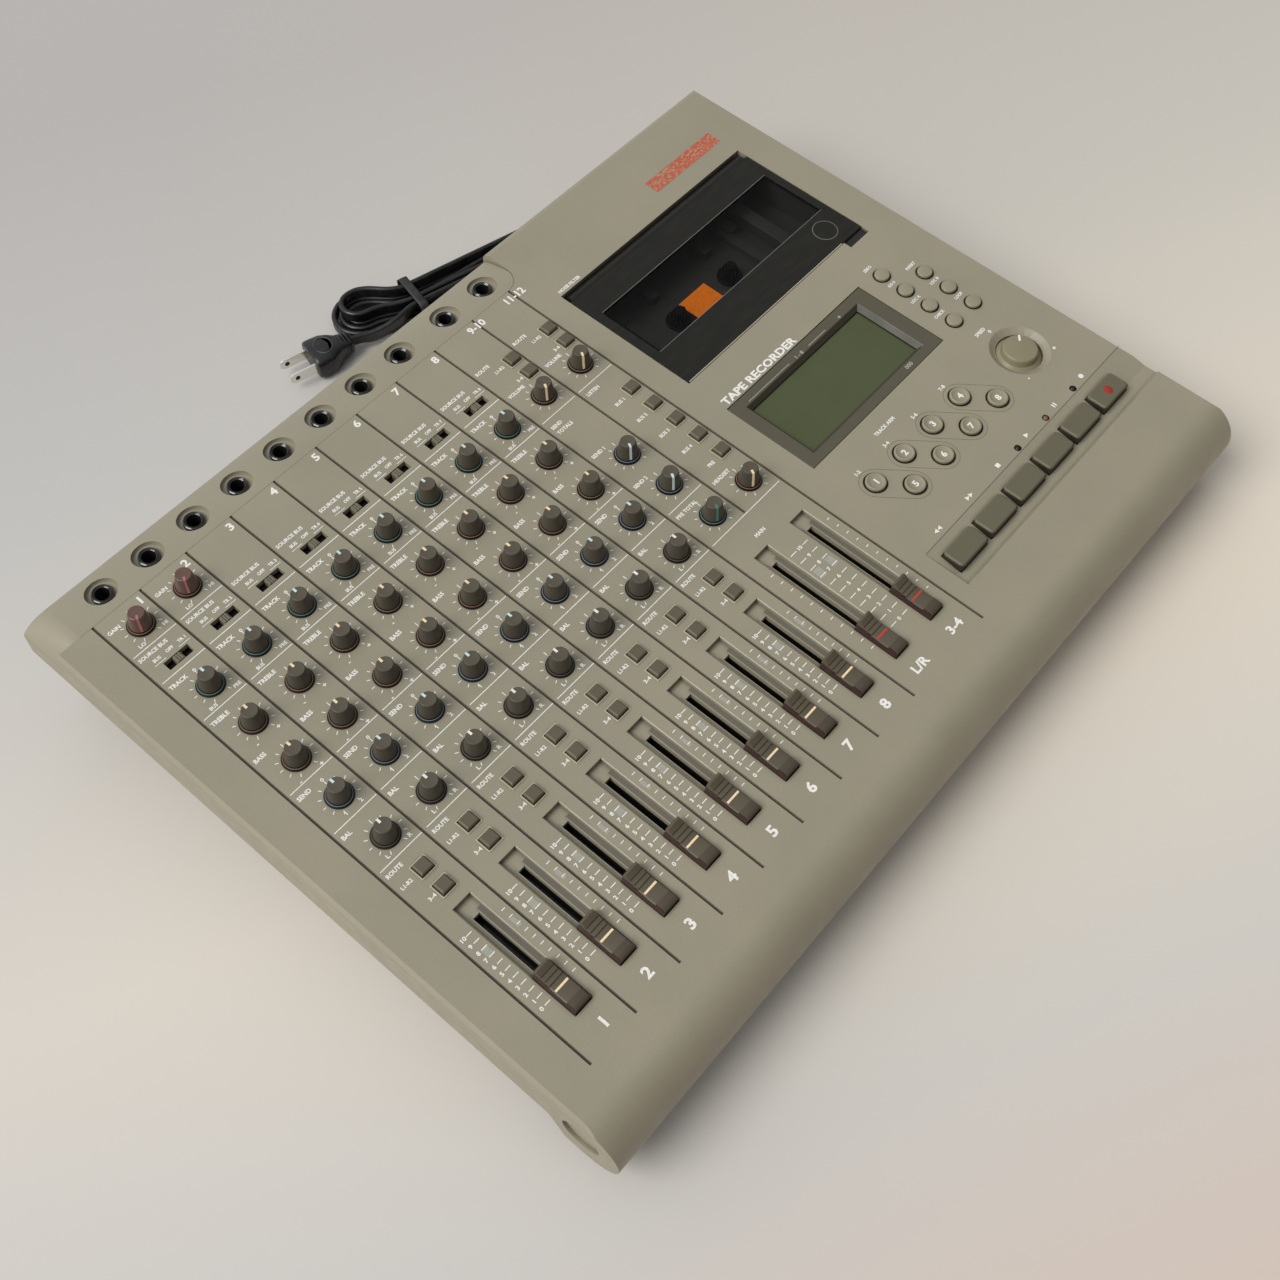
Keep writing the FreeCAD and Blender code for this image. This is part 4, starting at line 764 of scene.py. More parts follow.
def plug():
    """The moulded two-blade plug: rounded all over, with a ribbed neck and a grip pad on each face."""
    shape = Shape()
    stations = [(0.0, 4.0, 3.2), (-1.5, 5.6, 4.6), (-4.0, 6.0, 5.2), (-7.5, 6.4, 6.0), (-11.0, 9.0, 7.0),
                (-15.0, 11.0, 7.4), (-20.0, 11.4, 7.5), (-23.6, 11.4, 7.4), (-24.7, 10.9, 6.9),
                (-25.0, 10.2, 6.2)]
    shape.loft([[Vector((PLUG_REAR + x, PLUG_ASIDE + half * math.copysign(abs(c) ** 0.62, c),
                         PLUG_MIDDLE + tall * math.copysign(abs(s) ** 0.5, s))) for c, s in circle(1.0, 24)]
                for x, half, tall in stations])
    for x in (-2.4, -4.4, -6.4):
        shape.lathe((PLUG_REAR + x, PLUG_ASIDE, PLUG_MIDDLE),
                    [(4.4, -0.5), (6.2, -0.45), (6.3, 0.45), (4.4, 0.5)], 24, axis=(1, 0, 0))
    body = make("mains_plug_body", shape, PLUG, place=HANK, sharp=40, replaces="mains_plug")
    pad = Shape()
    for z, crown in ((14.85, 0.22), (0.35, -0.22)):
        loops = []
        for size, lift in ((1.0, 0.0), (0.93, crown), (0.9, 0.0), (0.2, 0.0)):
            oval = [(PLUG_REAR - 16.5 + 5.4 * x, PLUG_ASIDE + 6.4 * y) for x, y in circle(size, 28)]
            loops.append(level(oval, z + lift))
        pad.loft(loops)
    make("mains_plug_pad", pad, PLUG_PAD, place=HANK)
    blades = Shape()
    tip = PLUG_REAR - 25.0 - BLADE_LENGTH
    for side in (-1, 1):
        y = PLUG_ASIDE + side * BLADE_SPACING / 2
        blades.loft([section(rectangle(y, PLUG_MIDDLE, thin, half), x) for x, half, thin in (
            (PLUG_REAR - 24.0, 3.15, 0.75), (tip + 2.2, 3.15, 0.75), (tip + 0.6, 2.4, 0.4), (tip, 1.6, 0.4))])
        # A dark plug of painted shade in each blade's hole.
        blades.lathe((tip + 4.0, y, PLUG_MIDDLE), [(0.0, -0.8), (1.5, -0.8), (1.5, 0.8), (0.0, 0.8)], 16, 1,
                     (0, 1, 0))
    make("mains_plug_blades", blades, [BLADE, GAP_SHADE], place=HANK, bevel=0.15)
    return body


def tie():
    """A black tie round the hank's waist."""
    shape = Shape()
    low, high = 0.35, 15.4
    near, far = -15.0, 12.8
    half = 2.6
    loops = []
    for x in (-half, -half / 2, 0.0, half / 2, half):
        swell = 0.25 - 0.25 * (x / half) ** 2
        loops.append(section([(near - swell, low + 1.5), (near + 1.0, low), (far - 1.0, low),
                              (far + swell, low + 1.5), (far + swell, high - 2), (far - 2, high + swell),
                              (near + 2, high + swell), (near - swell, high - 2)], WAIST + x))
    shape.loft(loops, ends=False)
    piece = make("hank_tie", shape, RUBBER, place=HANK, sharp=60, replaces="cord_tie")
    wall = piece.modifiers.new("thickness", "SOLIDIFY")
    wall.thickness = 0.6 * MM
    wall.offset = 0
    return piece


def strain_relief():
    """A ribbed, tapering boot round the lead where it leaves the rear wall."""
    shape = Shape()
    profile = [(0.0, -3.5), (4.8, -3.5), (4.8, 0.0), (7.2, 0.0), (7.3, 0.4), (7.3, 1.6), (6.9, 2.0),
               (5.9, 2.0)]
    for i in range(6):
        start, r = 2.2 + i * 2.9, 5.8 - i * 0.28
        profile += [(r, start), (r, start + 1.6), (r - 0.9, start + 1.9), (r - 0.9, start + 2.7)]
    profile += [(4.2, 20.0), (3.9, 22.0), (3.5, 22.4), (2.0, 22.4)]
    shape.lathe((RELIEF[0], REAR_WALL, RELIEF[1]), profile, 28, axis=(0, 1, -0.01))
    make("lead_boot", shape, RUBBER, place=ROW, replaces="strain_relief")


# Controls

KNOB_PAINTS = [KNOB, GAP_SHADE, KNOB_TOP, TEAL, BROWN, CREAM, BLUE, WHITE, ROSE, SKY, TRIM]
# Paints of a knob's rim, pointer line, cone and top.
KNOB_STYLES = {"tape": (3, 9, 0, 2), "high": (4, 5, 0, 2), "low": (4, 5, 0, 2), "send": (6, 9, 0, 2),
               "pan": (2, 7, 0, 2), "trim": (4, 8, 10, 10), "level": (4, 5, 0, 2), "cue": (3, 3, 0, 2),
               "phones": (4, 5, 0, 2)}


def turned_knob(shape, place, angle, style):
    """A tapered knob with a lighter top, a tinted rim in its dark gap of painted shade, and a pointer line
    down its side.
    """
    rim, line, cone, top = KNOB_STYLES[style]
    profile = [(0.0, 10.1, top), (3.05, 10.15, top), (3.5, 10.2, cone), (3.78, 10.05, cone), (3.9, 9.7, cone),
               (5.2, 2.2, cone), (5.25, 1.5, 1), (5.35, 1.0, 1), (5.6, 0.95, rim), (5.68, 1.2, rim),
               (5.9, 1.15, rim), (6.0, 0.9, 1), (6.0, 0.4, 1), (3.0, 0.4)]
    shape.lathe(place, profile, 44)
    path = [(1.5, 10.14), (3.5, 10.24), (3.85, 10.05), (3.95, 9.7), (5.25, 2.2)]
    pointer(shape, place, angle, path, 1.15, line)


def pointer(shape, place, angle, path, width, paint):
    """A raised line that follows a path of (radius, height) pairs, with short sides sunk into the knob."""
    along = Vector((-math.sin(angle), math.cos(angle)))
    side = Vector((math.cos(angle), math.sin(angle))) * (width / 2)
    for (r0, w0), (r1, w1) in zip(path[:-1], path[1:]):
        out = Vector((w0 - w1, r1 - r0)).normalized() * 0.1
        rows = []
        for r, w in ((r0, w0), (r1, w1)):
            for lift in (out, out * -2):
                spot = Vector(place[:2]) + along * (r + lift.x)
                rows.append(level((spot - side, spot + side), w + lift.y))
        outer0, inner0, outer1, inner1 = rows
        shape.face([*outer0, *outer1[::-1]], paint)
        for k in (0, 1):
            shape.face([outer0[k], outer1[k], inner1[k], inner0[k]], paint)


def channel_knobs():
    """The thirty-five knobs of channels 2 to 8."""
    shape = Shape()
    for row, v in KNOB_ROWS.items():
        for i in range(1, CHANNELS):
            turned_knob(shape, (groove(i) + KNOB_ASIDE, v), 0.0, row)
    make("channel_knob_caps", shape, KNOB_PAINTS, replaces="channel_knobs")


def own_knobs():
    """Name, place, style and turn of each knob that has its own joint."""
    left, right = groove(8) + MASTER_ASIDE, groove(9) + MASTER_ASIDE
    knobs = [("level_knob_left", left, LEVEL_ROW, "level"), ("level_knob_right", right, LEVEL_ROW, "level"),
             ("effect_knob_1", left, EFFECT_ROWS[0], "send"), ("effect_knob_2", left, EFFECT_ROWS[1], "send"),
             ("cue_master_knob", left, LISTEN_ROW, "cue"), ("phones_knob", right, LISTEN_ROW, "phones"),
             ("trim_knob_1", groove(0) + KNOB_ASIDE, TRIM_ROW, "trim"),
             ("trim_knob_2", groove(1) + KNOB_ASIDE, TRIM_ROW, "trim")]
    return [(*knob, math.radians(150)) for knob in knobs] + [
        (row + "_knob_1", groove(0) + KNOB_ASIDE, v, row, 0.0) for row, v in KNOB_ROWS.items()]


def single_knobs():
    for name, u, v, style, angle in own_knobs():
        shape = Shape()
        turned_knob(shape, (u, v), angle, style)
        make(name + "_cap", shape, KNOB_PAINTS, name + "_body", replaces=name)


def knob_places():
    shared = [(groove(i) + KNOB_ASIDE, v) for v in KNOB_ROWS.values() for i in range(1, CHANNELS)]
    return shared + [(u, v) for _, u, v, *_ in own_knobs()]


def knob_wells():
    """The dark ring of the opening that each knob stands in: a flat sheet of painted shade."""
    shape = Shape()
    for place in knob_places():
        shape.lathe(place, [(3.2, 0.1), (6.5, 0.1), (6.7, 0.03)], 40)
    make("knob_openings", shape, GAP_SHADE)


def cap_crest():
    """The top of a fader's cap from front to rear: low step, flat, three ribs and raised rear."""
    crest = [(-11.5, 2.0), (-11.2, 2.9), (-10.5, 3.35), (-9.0, 3.55), (-6.9, 3.62), (-6.5, 3.4), (-6.35, 2.6),
             (-5.0, 2.5), (-2.0, 2.5), (1.9, 2.7)]
    height = 2.8
    for i in range(3):
        start = 2.6 + i * 2.3
        crest += [(start, height), (start + 0.12, height - 0.42), (start + 0.5, height - 0.3),
                  (start + 0.62, height + 0.3)]
        height += 0.55 + i * 0.2
    return crest + [(10.2, 5.9), (10.9, 5.75), (11.4, 5.2), (11.5, 4.4)]


def fader_cap(name, body, u, line):
    """A fader's cap: scooped and ribbed behind its line, with a low front step."""
    shape = Shape()
    foot, crown, shoulder_top = 5.1, 3.95, 3.0
    loops = []
    for dv, w in cap_crest():
        shoulder = min(shoulder_top, w - 0.25)
        side = foot - (shoulder - 0.6) * (foot - crown) / (shoulder_top - 0.6)
        half = [(foot, -2.7), (foot, 0.2), (side, shoulder), (crown - 0.15, w - 0.06), (crown - 0.45, w)]
        outline = [(-x, z) for x, z in half] + half[::-1]
        loops.append([Vector((u + x, FADER_ZERO + dv, z)) for x, z in outline])
    for low, high in zip(loops[:-1], loops[1:]):
        front = low[0].y < FADER_ZERO - 6.4
        for k in range(10):
            after = (k + 1) % 10
            # The lower sides take the dark red foot colour, darkened as painted gap shade.
            paint = 1 if k in (0, 1, 7, 8) else 2 if front else 0
            shape.face([low[k], low[after], high[after], high[k]], paint)
    shape.face(loops[0], 2)
    shape.face(loops[-1], 0)
    shape.box((u - 3.7, FADER_ZERO - 0.5, 2.4), (u + 3.7, FADER_ZERO + 0.5, 2.68), 3)
    shape.box((u - 0.6, FADER_ZERO - 2.5, -10.4), (u + 0.6, FADER_ZERO + 2.5, -2.2), 4)
    make(name + "_cap", shape, [CAP, CAP_FOOT_RED_AND_SHADE, CAP_FRONT, line, STEEL], body, sharp=28, replaces=name)


def fader_places():
    """Name, place, travel and line colour of each fader."""
    channels = [("fader_%d" % (i + 1), groove(i) + FADER_ASIDE, FADER_TRAVEL, CREAM) for i in range(CHANNELS)]
    masters = [("master_fader_%d" % (i + 1), groove(8 + i) + MASTER_FADER_ASIDE, MASTER_TRAVEL, RED)
               for i in range(2)]
    return channels + masters


def faders():
    for name, u, _, line in fader_places():
        fader_cap(name, name + "_slide", u, line)


def fader_tracks():
    """The moulded steps beside each slot and the strip of floor at its right."""
    shape = Shape()
    floor = -2.9
    for _, u, travel, _ in fader_places():
        front, rear = FADER_ZERO - 12.0, FADER_ZERO + travel + 12.0
        for side in (-1, 1):
            edge, lip = u + side * 5.35, u + side * 2.0
            wall = [(edge, -0.02), (edge - side * 0.5, -0.35), (edge - side * 0.55, floor), (edge, floor)]
            outer = lip + side * 0.5
            bead = [(lip, floor - 0.08), (lip, -2.7), (outer, -2.7), (outer, floor - 0.08)]
            shape.loft([[Vector((x, v, w)) for x, w in wall] for v in (front, rear)])
            shape.loft([[Vector((x, v, w)) for x, w in bead] for v in (front + 6, rear - 6)])
        left, right = u + 2.0, u + 5.3
        shape.face([(left, front + 1, floor), (right, front + 1, floor), (right, rear - 6, floor),
                    (left, rear - 6, floor)], 1)
    make("fader_trim", shape, [CASE, TRACK])


def key_place(index):
    return FIRST_KEY + KEY_STEP * index


def rounded(outline, share=0.3):
    """An outline with each corner cut by two points."""
    result = []
    for before, here, after in zip(outline[-1:] + outline[:-1], outline, outline[1:] + outline[:1]):
        before, here, after = Vector(before), Vector(here), Vector(after)
        middle = here.lerp(before, share * 0.3).lerp(here.lerp(after, share * 0.3), 0.5)
        result += [here.lerp(before, share), middle, here.lerp(after, share)]
    return result


def transport_keys():
    """Sides round the keys painted dark as painted shade, and the mark of the record key."""
    for i, name in enumerate(KEYS):
        dress(name + "_key", KEY, 0.35, 3)
        side = Shape()
        outline = rounded(rectangle(key_place(i), KEY_ROW, 10.85, 5.9), 0.1)
        side.loft([level(outline, w) for w in (-4.5, 0.55)], ends=False)
        make(name + "_key_side", side, KEY_SIDE_SHADE, name)
    spot = Shape()
    spot.lathe((key_place(5), KEY_ROW), [(0.0, 1.88), (2.5, 1.88), (2.65, 1.8)], 36)
    make("record_mark", spot, SPOT, "record")


def assign_buttons():
    """Surrounds of the square buttons: a pale rim of painted highlight where the hole's edge catches light,
    and a dark inner wall of painted shade; and the green band of the lowest one.
    """
    dress("assign_buttons", ASSIGN, 0.3, 2)
    surrounds = Shape()
    places = [(groove(i) + KNOB_ASIDE, v) for i in range(CHANNELS) for v in ROUTE_ROWS]
    places += [(groove(8 + i) + 21.9, v) for i in range(2) for v in (-32.4, -44.0)]
    places += [(groove(9) + 21.1, -88.3 - 14.3 * i) for i in range(5)]
    rims = ((4.4, 4.15, 0.02), (4.3, 4.05, 0.3), (3.85, 3.6, 0.32), (3.75, 3.5, 0.1), (3.45, 3.2, -1.6))
    for place in places:
        loops = [level(rectangle(*place, x, y), w) for x, y, w in rims]
        surrounds.loft(loops[:4], ends=False)
        surrounds.loft(loops[3:], 1, ends=False)
    make("button_surrounds", surrounds, [EDGE_HIGHLIGHT, GAP_SHADE])
    u, v = places[-1]
    band = Shape()
    band.box((u - 3.35, v - 3.1, 0.25), (u + 3.35, v + 3.1, 0.65))
    make("cue_button_band", band, TEAL, "assign_bank")


def small_buttons():
    """Places of the plain round buttons, four in the left column and three in the right."""
    left, right, rear = SMALL_BUTTONS
    rows = [rear - i * SMALL_STEP for i in range(4)]
    return [(left, v) for v in rows] + [(right, v) for v in rows[1:]]


def numbered_buttons():
    """Places of the pairs of numbered buttons."""
    (u, v), (du, dv) = NUMBERED, NUMBERED_PAIR
    lefts = [u + i * NUMBERED_STEP for i in range(4)]
    return [((left, v), (left + du, v + dv)) for left in lefts]


def round_buttons():
    """Plain round buttons by the display, and the wider dished ones with their numbers, each in a dark ring
    of painted gap shade.
    """
    shape, ink, rings = Shape(), Shape(), Shape()
    for place in small_buttons():
        shape.lathe(place, [(0.0, 1.5), (3.2, 1.55), (3.75, 1.42), (4.0, 1.1), (4.05, 0.6), (4.05, -6.0)], 40)
        rings.lathe(place, [(4.1, -0.6), (4.1, 0.06), (4.9, 0.06), (4.95, 0.0)], 40)
    for i, pair in enumerate(numbered_buttons()):
        for k, place in enumerate(pair):
            shape.lathe(place, [(0.0, 0.95), (2.2, 0.98), (3.4, 1.15), (4.1, 1.5), (4.5, 1.6), (4.95, 1.45),
                                (5.2, 1.1), (5.2, -6.0)], 48)
            rings.lathe(place, [(5.25, -0.6), (5.25, 0.06), (6.1, 0.06), (6.15, 0.0)], 48)
            write(ink, str(i + 1 + 4 * k), place, 3.3, lift=1.06)
    make("round_button_caps", shape, BUTTON, "button_bank", replaces="round_buttons")
    make("round_button_numbers", ink, WHITE, "button_bank")
    make("round_button_gaps", rings, GAP_SHADE)
    pair_outlines()


def pair_outlines():
    """A faint moulded line round each pair of numbered buttons, drawn as a flat dark line of painted shade.
    """
    shape = Shape()
    radius = 8.2
    for a, b in numbered_buttons():
        a, b = Vector(a), Vector(b)
        along = (b - a).normalized()
        across = Vector((-along.y, along.x))
        path = []
        for end, way in ((b, radius), (a, -radius)):
            for k in range(13):
                turn = math.pi * k / 12
                path.append(end + along * way * math.sin(turn) + across * way * math.cos(turn))
        for start, stop in zip(path, path[1:] + path[:1]):
            shape.bar(start, stop, 0.22, height=0.03)
    make("button_pair_lines", shape, CREASE_SHADE)


def slide_switches():
    """Stepped thumb pieces in their slots, over a dark slot floor of painted shade."""
    shape = Shape()
    v = SWITCH_ROW
    for i in range(CHANNELS):
        u = groove(i) + KNOB_ASIDE
        shape.box((u - 2.2, v - 2.1, -4.2), (u + 2.2, v + 2.1, -0.5))
        for step, top in ((-1.75, 0.32), (-0.55, 0.1), (0.65, 0.32)):
            shape.box((u + step, v - 2.0, -0.5), (u + step + 0.75, v + 2.0, top))
        shape.box((u - 6.7, v - 2.3, -5.2), (u + 6.7, v + 2.3, -4.2), 1)
    make("slide_switch_caps", shape, [NUB, GAP_SHADE], "switch_bank", bevel=0.12, replaces="slide_switches")


def quarter(radius):
    """Points of a quarter turn, as (across, up) pairs from straight up to straight across."""
    turns = [math.pi / 2 * k / 10 for k in range(11)]
    return [(radius * math.sin(turn), radius * math.cos(turn)) for turn in turns]


def jack_strip():
    """The rounded strip with a pocket at each jack, its domed left end, and the cutter that makes room."""
    left, right = -223.3, 64.2
    slab = Shape()
    profile = STRIP_CURVE + [(28.2, -16.4), (25.6, -16.4), (25.6, -11.0), (0.1, -11.0)]
    slab.loft([section(profile, u) for u in (left, right)])
    holes = Shape()
    for place in JACKS:
        holes.lathe(place, [(0.0, -20.0), (3.35, -20.0), (3.35, -5.3), (7.2, -5.3), (7.8, -4.4), (8.1, 4.0),
                            (0.0, 4.0)], 64)
    corner = [(53.2, -1.0)] + [(53.2 + x, 11.1 - y) for x, y in quarter(11)] + [(66.0, 11.1), (66.0, -1.0)]
    holes.loft([level(corner, w) for w in (-30, 8)])
    strip = make("jack_strip", slab, STRIP, replaces="input_panel")
    cut_with(strip, make("jack_strip_cutter", holes, STRIP))
    soften(strip, 0.3, 2)
    dome = Shape()
    middle, reach = -13.25, 13.2
    loops = []
    for v, w in STRIP_CURVE:
        arc = [(left + 0.05 - reach * x, middle + (w - middle) * y) for x, y in quarter(1)]
        outline = [(left + 0.05, -14.0), *arc, (left - 13.15, -14.0)]
        loops.append([Vector((u, v, height)) for u, height in outline])
    dome.loft(loops)
    make("strip_left_end", dome, CASE)
    room = Shape()
    under = [(v, w - 0.7) for v, w in STRIP_CURVE] + [(29.5, -9.5), (29.5, 2.0), (0.05, 2.0)]
    room.loft([section(under, u) for u in (-226.7, -223.2)])
    return make("case_cutter", room, CASE)


def jack_rings():
    """Glossy nuts on threaded bushes."""
    shape = Shape()
    for place in JACKS:
        shape.lathe(place, [(3.3, -30.0, 1), (3.3, -4.2, 1), (3.5, -3.7, 0), (3.8, -3.5, 0), (4.05, -3.75, 1),
                            (4.2, -3.75, 0), (4.6, -3.4, 0), (5.1, -3.7, 0), (5.3, -4.2, 0), (5.3, -5.2, 0),
                            (5.3, -7.0, 0)], 48)
        shape.lathe(place, [(3.3, -29.0, 1), (0.0, -29.0)], 24)
    make("jack_nuts", shape, [SHINY, BLACK], replaces="jack_sockets")


def pitch_dial():
    """The low pitch knob on its skirt, and the turned dish round it, whose deep inner wall is painted shade.
    """
    shape = Shape()
    shape.lathe(PITCH_DIAL, [(0.0, 1.62), (7.6, 1.72), (8.5, 1.6), (9.0, 1.1), (9.2, 0.4), (9.35, -1.2),
                             (9.7, -2.2), (11.0, -3.0), (11.9, -3.5), (12.0, -4.0), (12.0, -6.5),
                             (3.0, -6.5)], 72)
    pointer(shape, PITCH_DIAL, math.radians(-50), [(4.7, 1.7), (7.6, 1.78), (8.5, 1.66)], 1.1, 1)
    make("pitch_knob_cap", shape, [DIAL, WHITE], "pitch_control", replaces="pitch_knob")
    dish = Shape()
    dish.lathe(PITCH_DIAL, [(16.2, 0.0), (16.15, 0.06), (15.9, 0.05), (15.6, -0.12), (13.0, -2.2),
                            (12.75, -2.35), (12.55, -2.5)], 96)
    dish.lathe(PITCH_DIAL, [(12.55, -2.5), (12.35, -2.7), (12.25, -6.8)], 96, 1)
    make("pitch_dish", dish, [CASE, GAP_SHADE])


def lamps():
    """Small lenses in dark rings of painted gap shade, a little to the left of the keys they belong to."""
    shape = Shape()
    for i, paint in ((3, 1), (4, 0), (5, 1)):
        place = (key_place(i) - 9.6, LAMP_ROW)
        shape.lathe(place, [(0.0, 0.5), (0.8, 0.42), (1.25, 0.1), (1.4, -0.2), (1.4, -4.0)], 28, paint)
        shape.lathe(place, [(1.45, -0.3), (1.5, 0.05), (1.85, 0.05), (1.9, 0.0)], 28, 2)
    make("indicator_lenses", shape, [AMBER, DARK_LENS, GAP_SHADE], replaces="indicator_lamps")


# The tape deck


def lid():
    """The smoked lid: a dark frame, a clearer pane between two hairlines, and a moulded ring."""
    middle, rear, width, length = DOOR
    left, right, front = middle - width / 2, middle + width / 2, rear - length
    pane_left, pane_rear = at(10.80, -1.67)
    pane_right, pane_front = at(15.78, -3.10)
    hinge_left, hinge_right = left + 2.2, right - 2.2
    top, under, lip = -0.3, -2.7, front + 0.5
    shape = Shape()
    for u0, u1, v0, v1 in ((left, right, pane_rear, rear - 6.0),
                           (hinge_left, hinge_right, rear - 6.0, rear - 4.0),
                           (left, right, lip, pane_front), (left, pane_left, pane_front, pane_rear),
                           (pane_right, right, pane_front, pane_rear)):
        shape.box((u0, v0, under), (u1, v1, top))
    edge = [(rear - 4.0, top), (rear - 1.8, -1.0), (rear - 0.7, -2.2), (rear - 0.1, -3.4), (rear, -4.3),
            (rear - 2.2, -4.3), (rear - 4.0, under)]
    shape.loft([section(edge, u) for u in (hinge_left, hinge_right)])
    nose = ((lip, top), (front, -0.8), (front, under), (lip, under))
    shape.loft([[Vector((u, *spot)) for u in (left, right)] for spot in nose], closed=False, ends=False)
    make("lid_frame", shape, LID, "tape_lid", bevel=0.2, replaces="door_window")
    pane = Shape()
    pane.box((pane_left, pane_front, -1.3), (pane_right, pane_rear, top))
    make("lid_pane", pane, PANE, "tape_lid")
    lines = Shape()
    for v in (pane_rear, pane_front):
        lines.bar((pane_left, v), (pane_right, v), 0.28, height=top + 0.1)
    raised = top + 0.12
    lines.lathe(at(15.384, -3.501), [(6.6, raised), (6.9, raised), (6.95, top)], 60)
    # A painted highlight along the lid's front edge, where its bevel catches the light.
    lines.bar((left + 1.0, front + 0.45), (right - 17.0, front + 0.45), 0.5, 1, raised)
    make("lid_hairlines", lines, [HAIRLINE, EDGE_HIGHLIGHT], "tape_lid")
    # Painted shade: a black box fills the finger notch's hollow.
    notch = Shape()
    notch.box((right - 15.8, front - 4.8, -1.78), (right - 0.2, front - 0.25, -1.3))
    make("finger_notch_shade", notch, BLACK, bevel=0.3)


def tape_path():
    """The orange square, given a little painted glow, and the dark moulded ribs of the compartment, seen
    through the pane.
    """
    square, ribs = Shape(), Shape()
    u, v, middle = 129.8, -68.5, REELS[0]
    square.box((u - 10.4, v - 8.1, -19.0), (u + 10.4, v + 8.1, -18.6))
    make("compartment_square", square, ORANGE_GLOW, bevel=0.2)
    for x in (-44, -20, 24, 46):
        ribs.box((middle + x - 3, -50, -21.0), (middle + x + 3, -42, -15.5))
    for x in (-58, 58):
        ribs.box((middle + x - 4, -96, -21.0), (middle + x + 4, -34, -13.0))
    make("compartment_ribs", ribs, WELL, bevel=0.4)


def spindles():
    """Splined hubs on their flanges."""
    root, tip = 3.1, 4.2
    for side, name, body in ((-1, "left_spindle", "left_reel"), (1, "right_spindle", "right_reel")):
        hub = Vector((REELS[0] + side * REEL_ASIDE, REELS[1]))
        shape = Shape()
        shape.lathe(hub, [(2.4, -26.5), (2.4, -20.7), (6.9, -20.7), (7.0, -20.4), (7.0, -19.1), (6.7, -18.8),
                          (3.3, -18.8), (3.3, -12.2), (2.6, -11.3), (0.0, -11.0)], 36)
        for x, y in circle(1.0, 6):
            along, across = Vector((x, y)), Vector((-y, x))
            loops = []
            for w, crest in ((-18.8, tip), (-13.4, tip), (-12.3, root + (tip - root) * 0.6)):
                corners = ((root, -0.55), (crest, -0.4), (crest, 0.4), (root, 0.55))
                loops.append(level([hub + along * r + across * t for r, t in corners], w))
            shape.loft(loops)
        make(name + "_hub", shape, HUB, body, replaces=name)


def display():
    """The bezel with its small marks, and the switched-off glass."""
    dress("display_bezel", BEZEL, 0.3, 2)
    dress("display_module", LCD)
    marks = Shape()
    u, v, width, length = WINDOW
    above, below, lift = v + length / 2 + 3.6, v - length / 2 - 4.4, -0.12
    marks.bar((u - width / 2 + 1, above), (u - 10, above), 0.4, height=lift)
    marks.bar((u + 6, above), (u + 20, above), 0.4, height=lift)
    write(marks, "1 - 8", (u - 2, above), 2.0, lift=lift)
    write(marks, "+", (u + 32, above), 2.4, lift=lift)
    write(marks, "000", (u + 30, below), 2.2, lift=lift)
    make("bezel_marks", marks, PALE_BAR)


# Rear and underside

PLATE_FACE = REAR_WALL - 0.9
SOCKETS = (-100.0, 28.0)
SOCKET_STEP = (27.0, 13.0)
SCREW_COLUMNS = (-172.0, -28.0)
SCREW_ROWS = (17.5, 38.5)
ROCKER = (150.0, 28.0)


def socket_places():
    """Number, row and place of each pin socket."""
    return [(1 + row + 2 * column, row, SOCKETS[0] + (column - 1.5) * SOCKET_STEP[0],
             SOCKETS[1] + (row - 0.5) * SOCKET_STEP[1]) for row in range(2) for column in range(4)]


def rear_fittings():
    """Pin sockets with coloured rings and numbers, plate screws and the rocker's frame."""
    shape, marks, screws, surround = Shape(), Shape(), Shape(), Shape()
    for number, row, x, z in socket_places():
        band = 2 if row else 3
        profile = [(5.9, 0.0, band), (5.9, 0.9, band), (5.4, 1.3, 0), (4.15, 1.3, 0), (4.15, 9.6, 0),
                   (3.9, 9.9, 0), (3.2, 9.9, 1), (3.2, 4.0, 1), (1.7, 4.0, 1), (1.7, 9.0, 1), (1.2, 9.2, 1),
                   (0.0, 9.2)]
        shape.lathe((x, PLATE_FACE, z), profile, 32, axis=(0, 1, 0))
        write(marks, str(number), (-(x + 9.0), z), 2.6)
    make("pin_sockets", shape, [NICKEL, BLACK, WHITE, RED], place=ROW, replaces="rear_sockets")
    for x in SCREW_COLUMNS:
        for z in SCREW_ROWS:
            screws.lathe((x, PLATE_FACE, z), [(0.0, 0.9), (1.6, 0.85), (2.5, 0.4), (2.7, 0.0)], 24,
                         axis=(0, 1, 0))
            # A dark bar of painted shade for each screw's slot.
            screws.box((x - 1.5, PLATE_FACE + 0.7, z - 0.25), (x + 1.5, PLATE_FACE + 0.98, z + 0.25), 1)
    make("plate_screws", screws, [STEEL, GAP_SHADE], place=ROW)
    upright = Matrix.Rotation(math.pi, 4, "Z") @ Matrix.Rotation(math.pi / 2, 4, "X")
    turned_rear = Matrix.Translation((0, PLATE_FACE * MM, 0)) @ upright @ ROW
    make("rear_plate_numbers", marks, WHITE, place=turned_rear)
    middle = Vector(ROCKER)
    outer = rounded(rectangle(*ROCKER, 7, 10.6), 0.15)
    inner = [middle + (p - middle) * 0.78 for p in outer]
    surround.loft([[Vector((p.x, REAR_WALL + y, p.y)) for p in outline]
                   for outline, y in ((outer, 0.0), (outer, 0.8), (inner, 0.8), (inner, -0.4))], ends=False)
    make("rocker_surround", surround, BLACK, place=ROW, bevel=0.15)


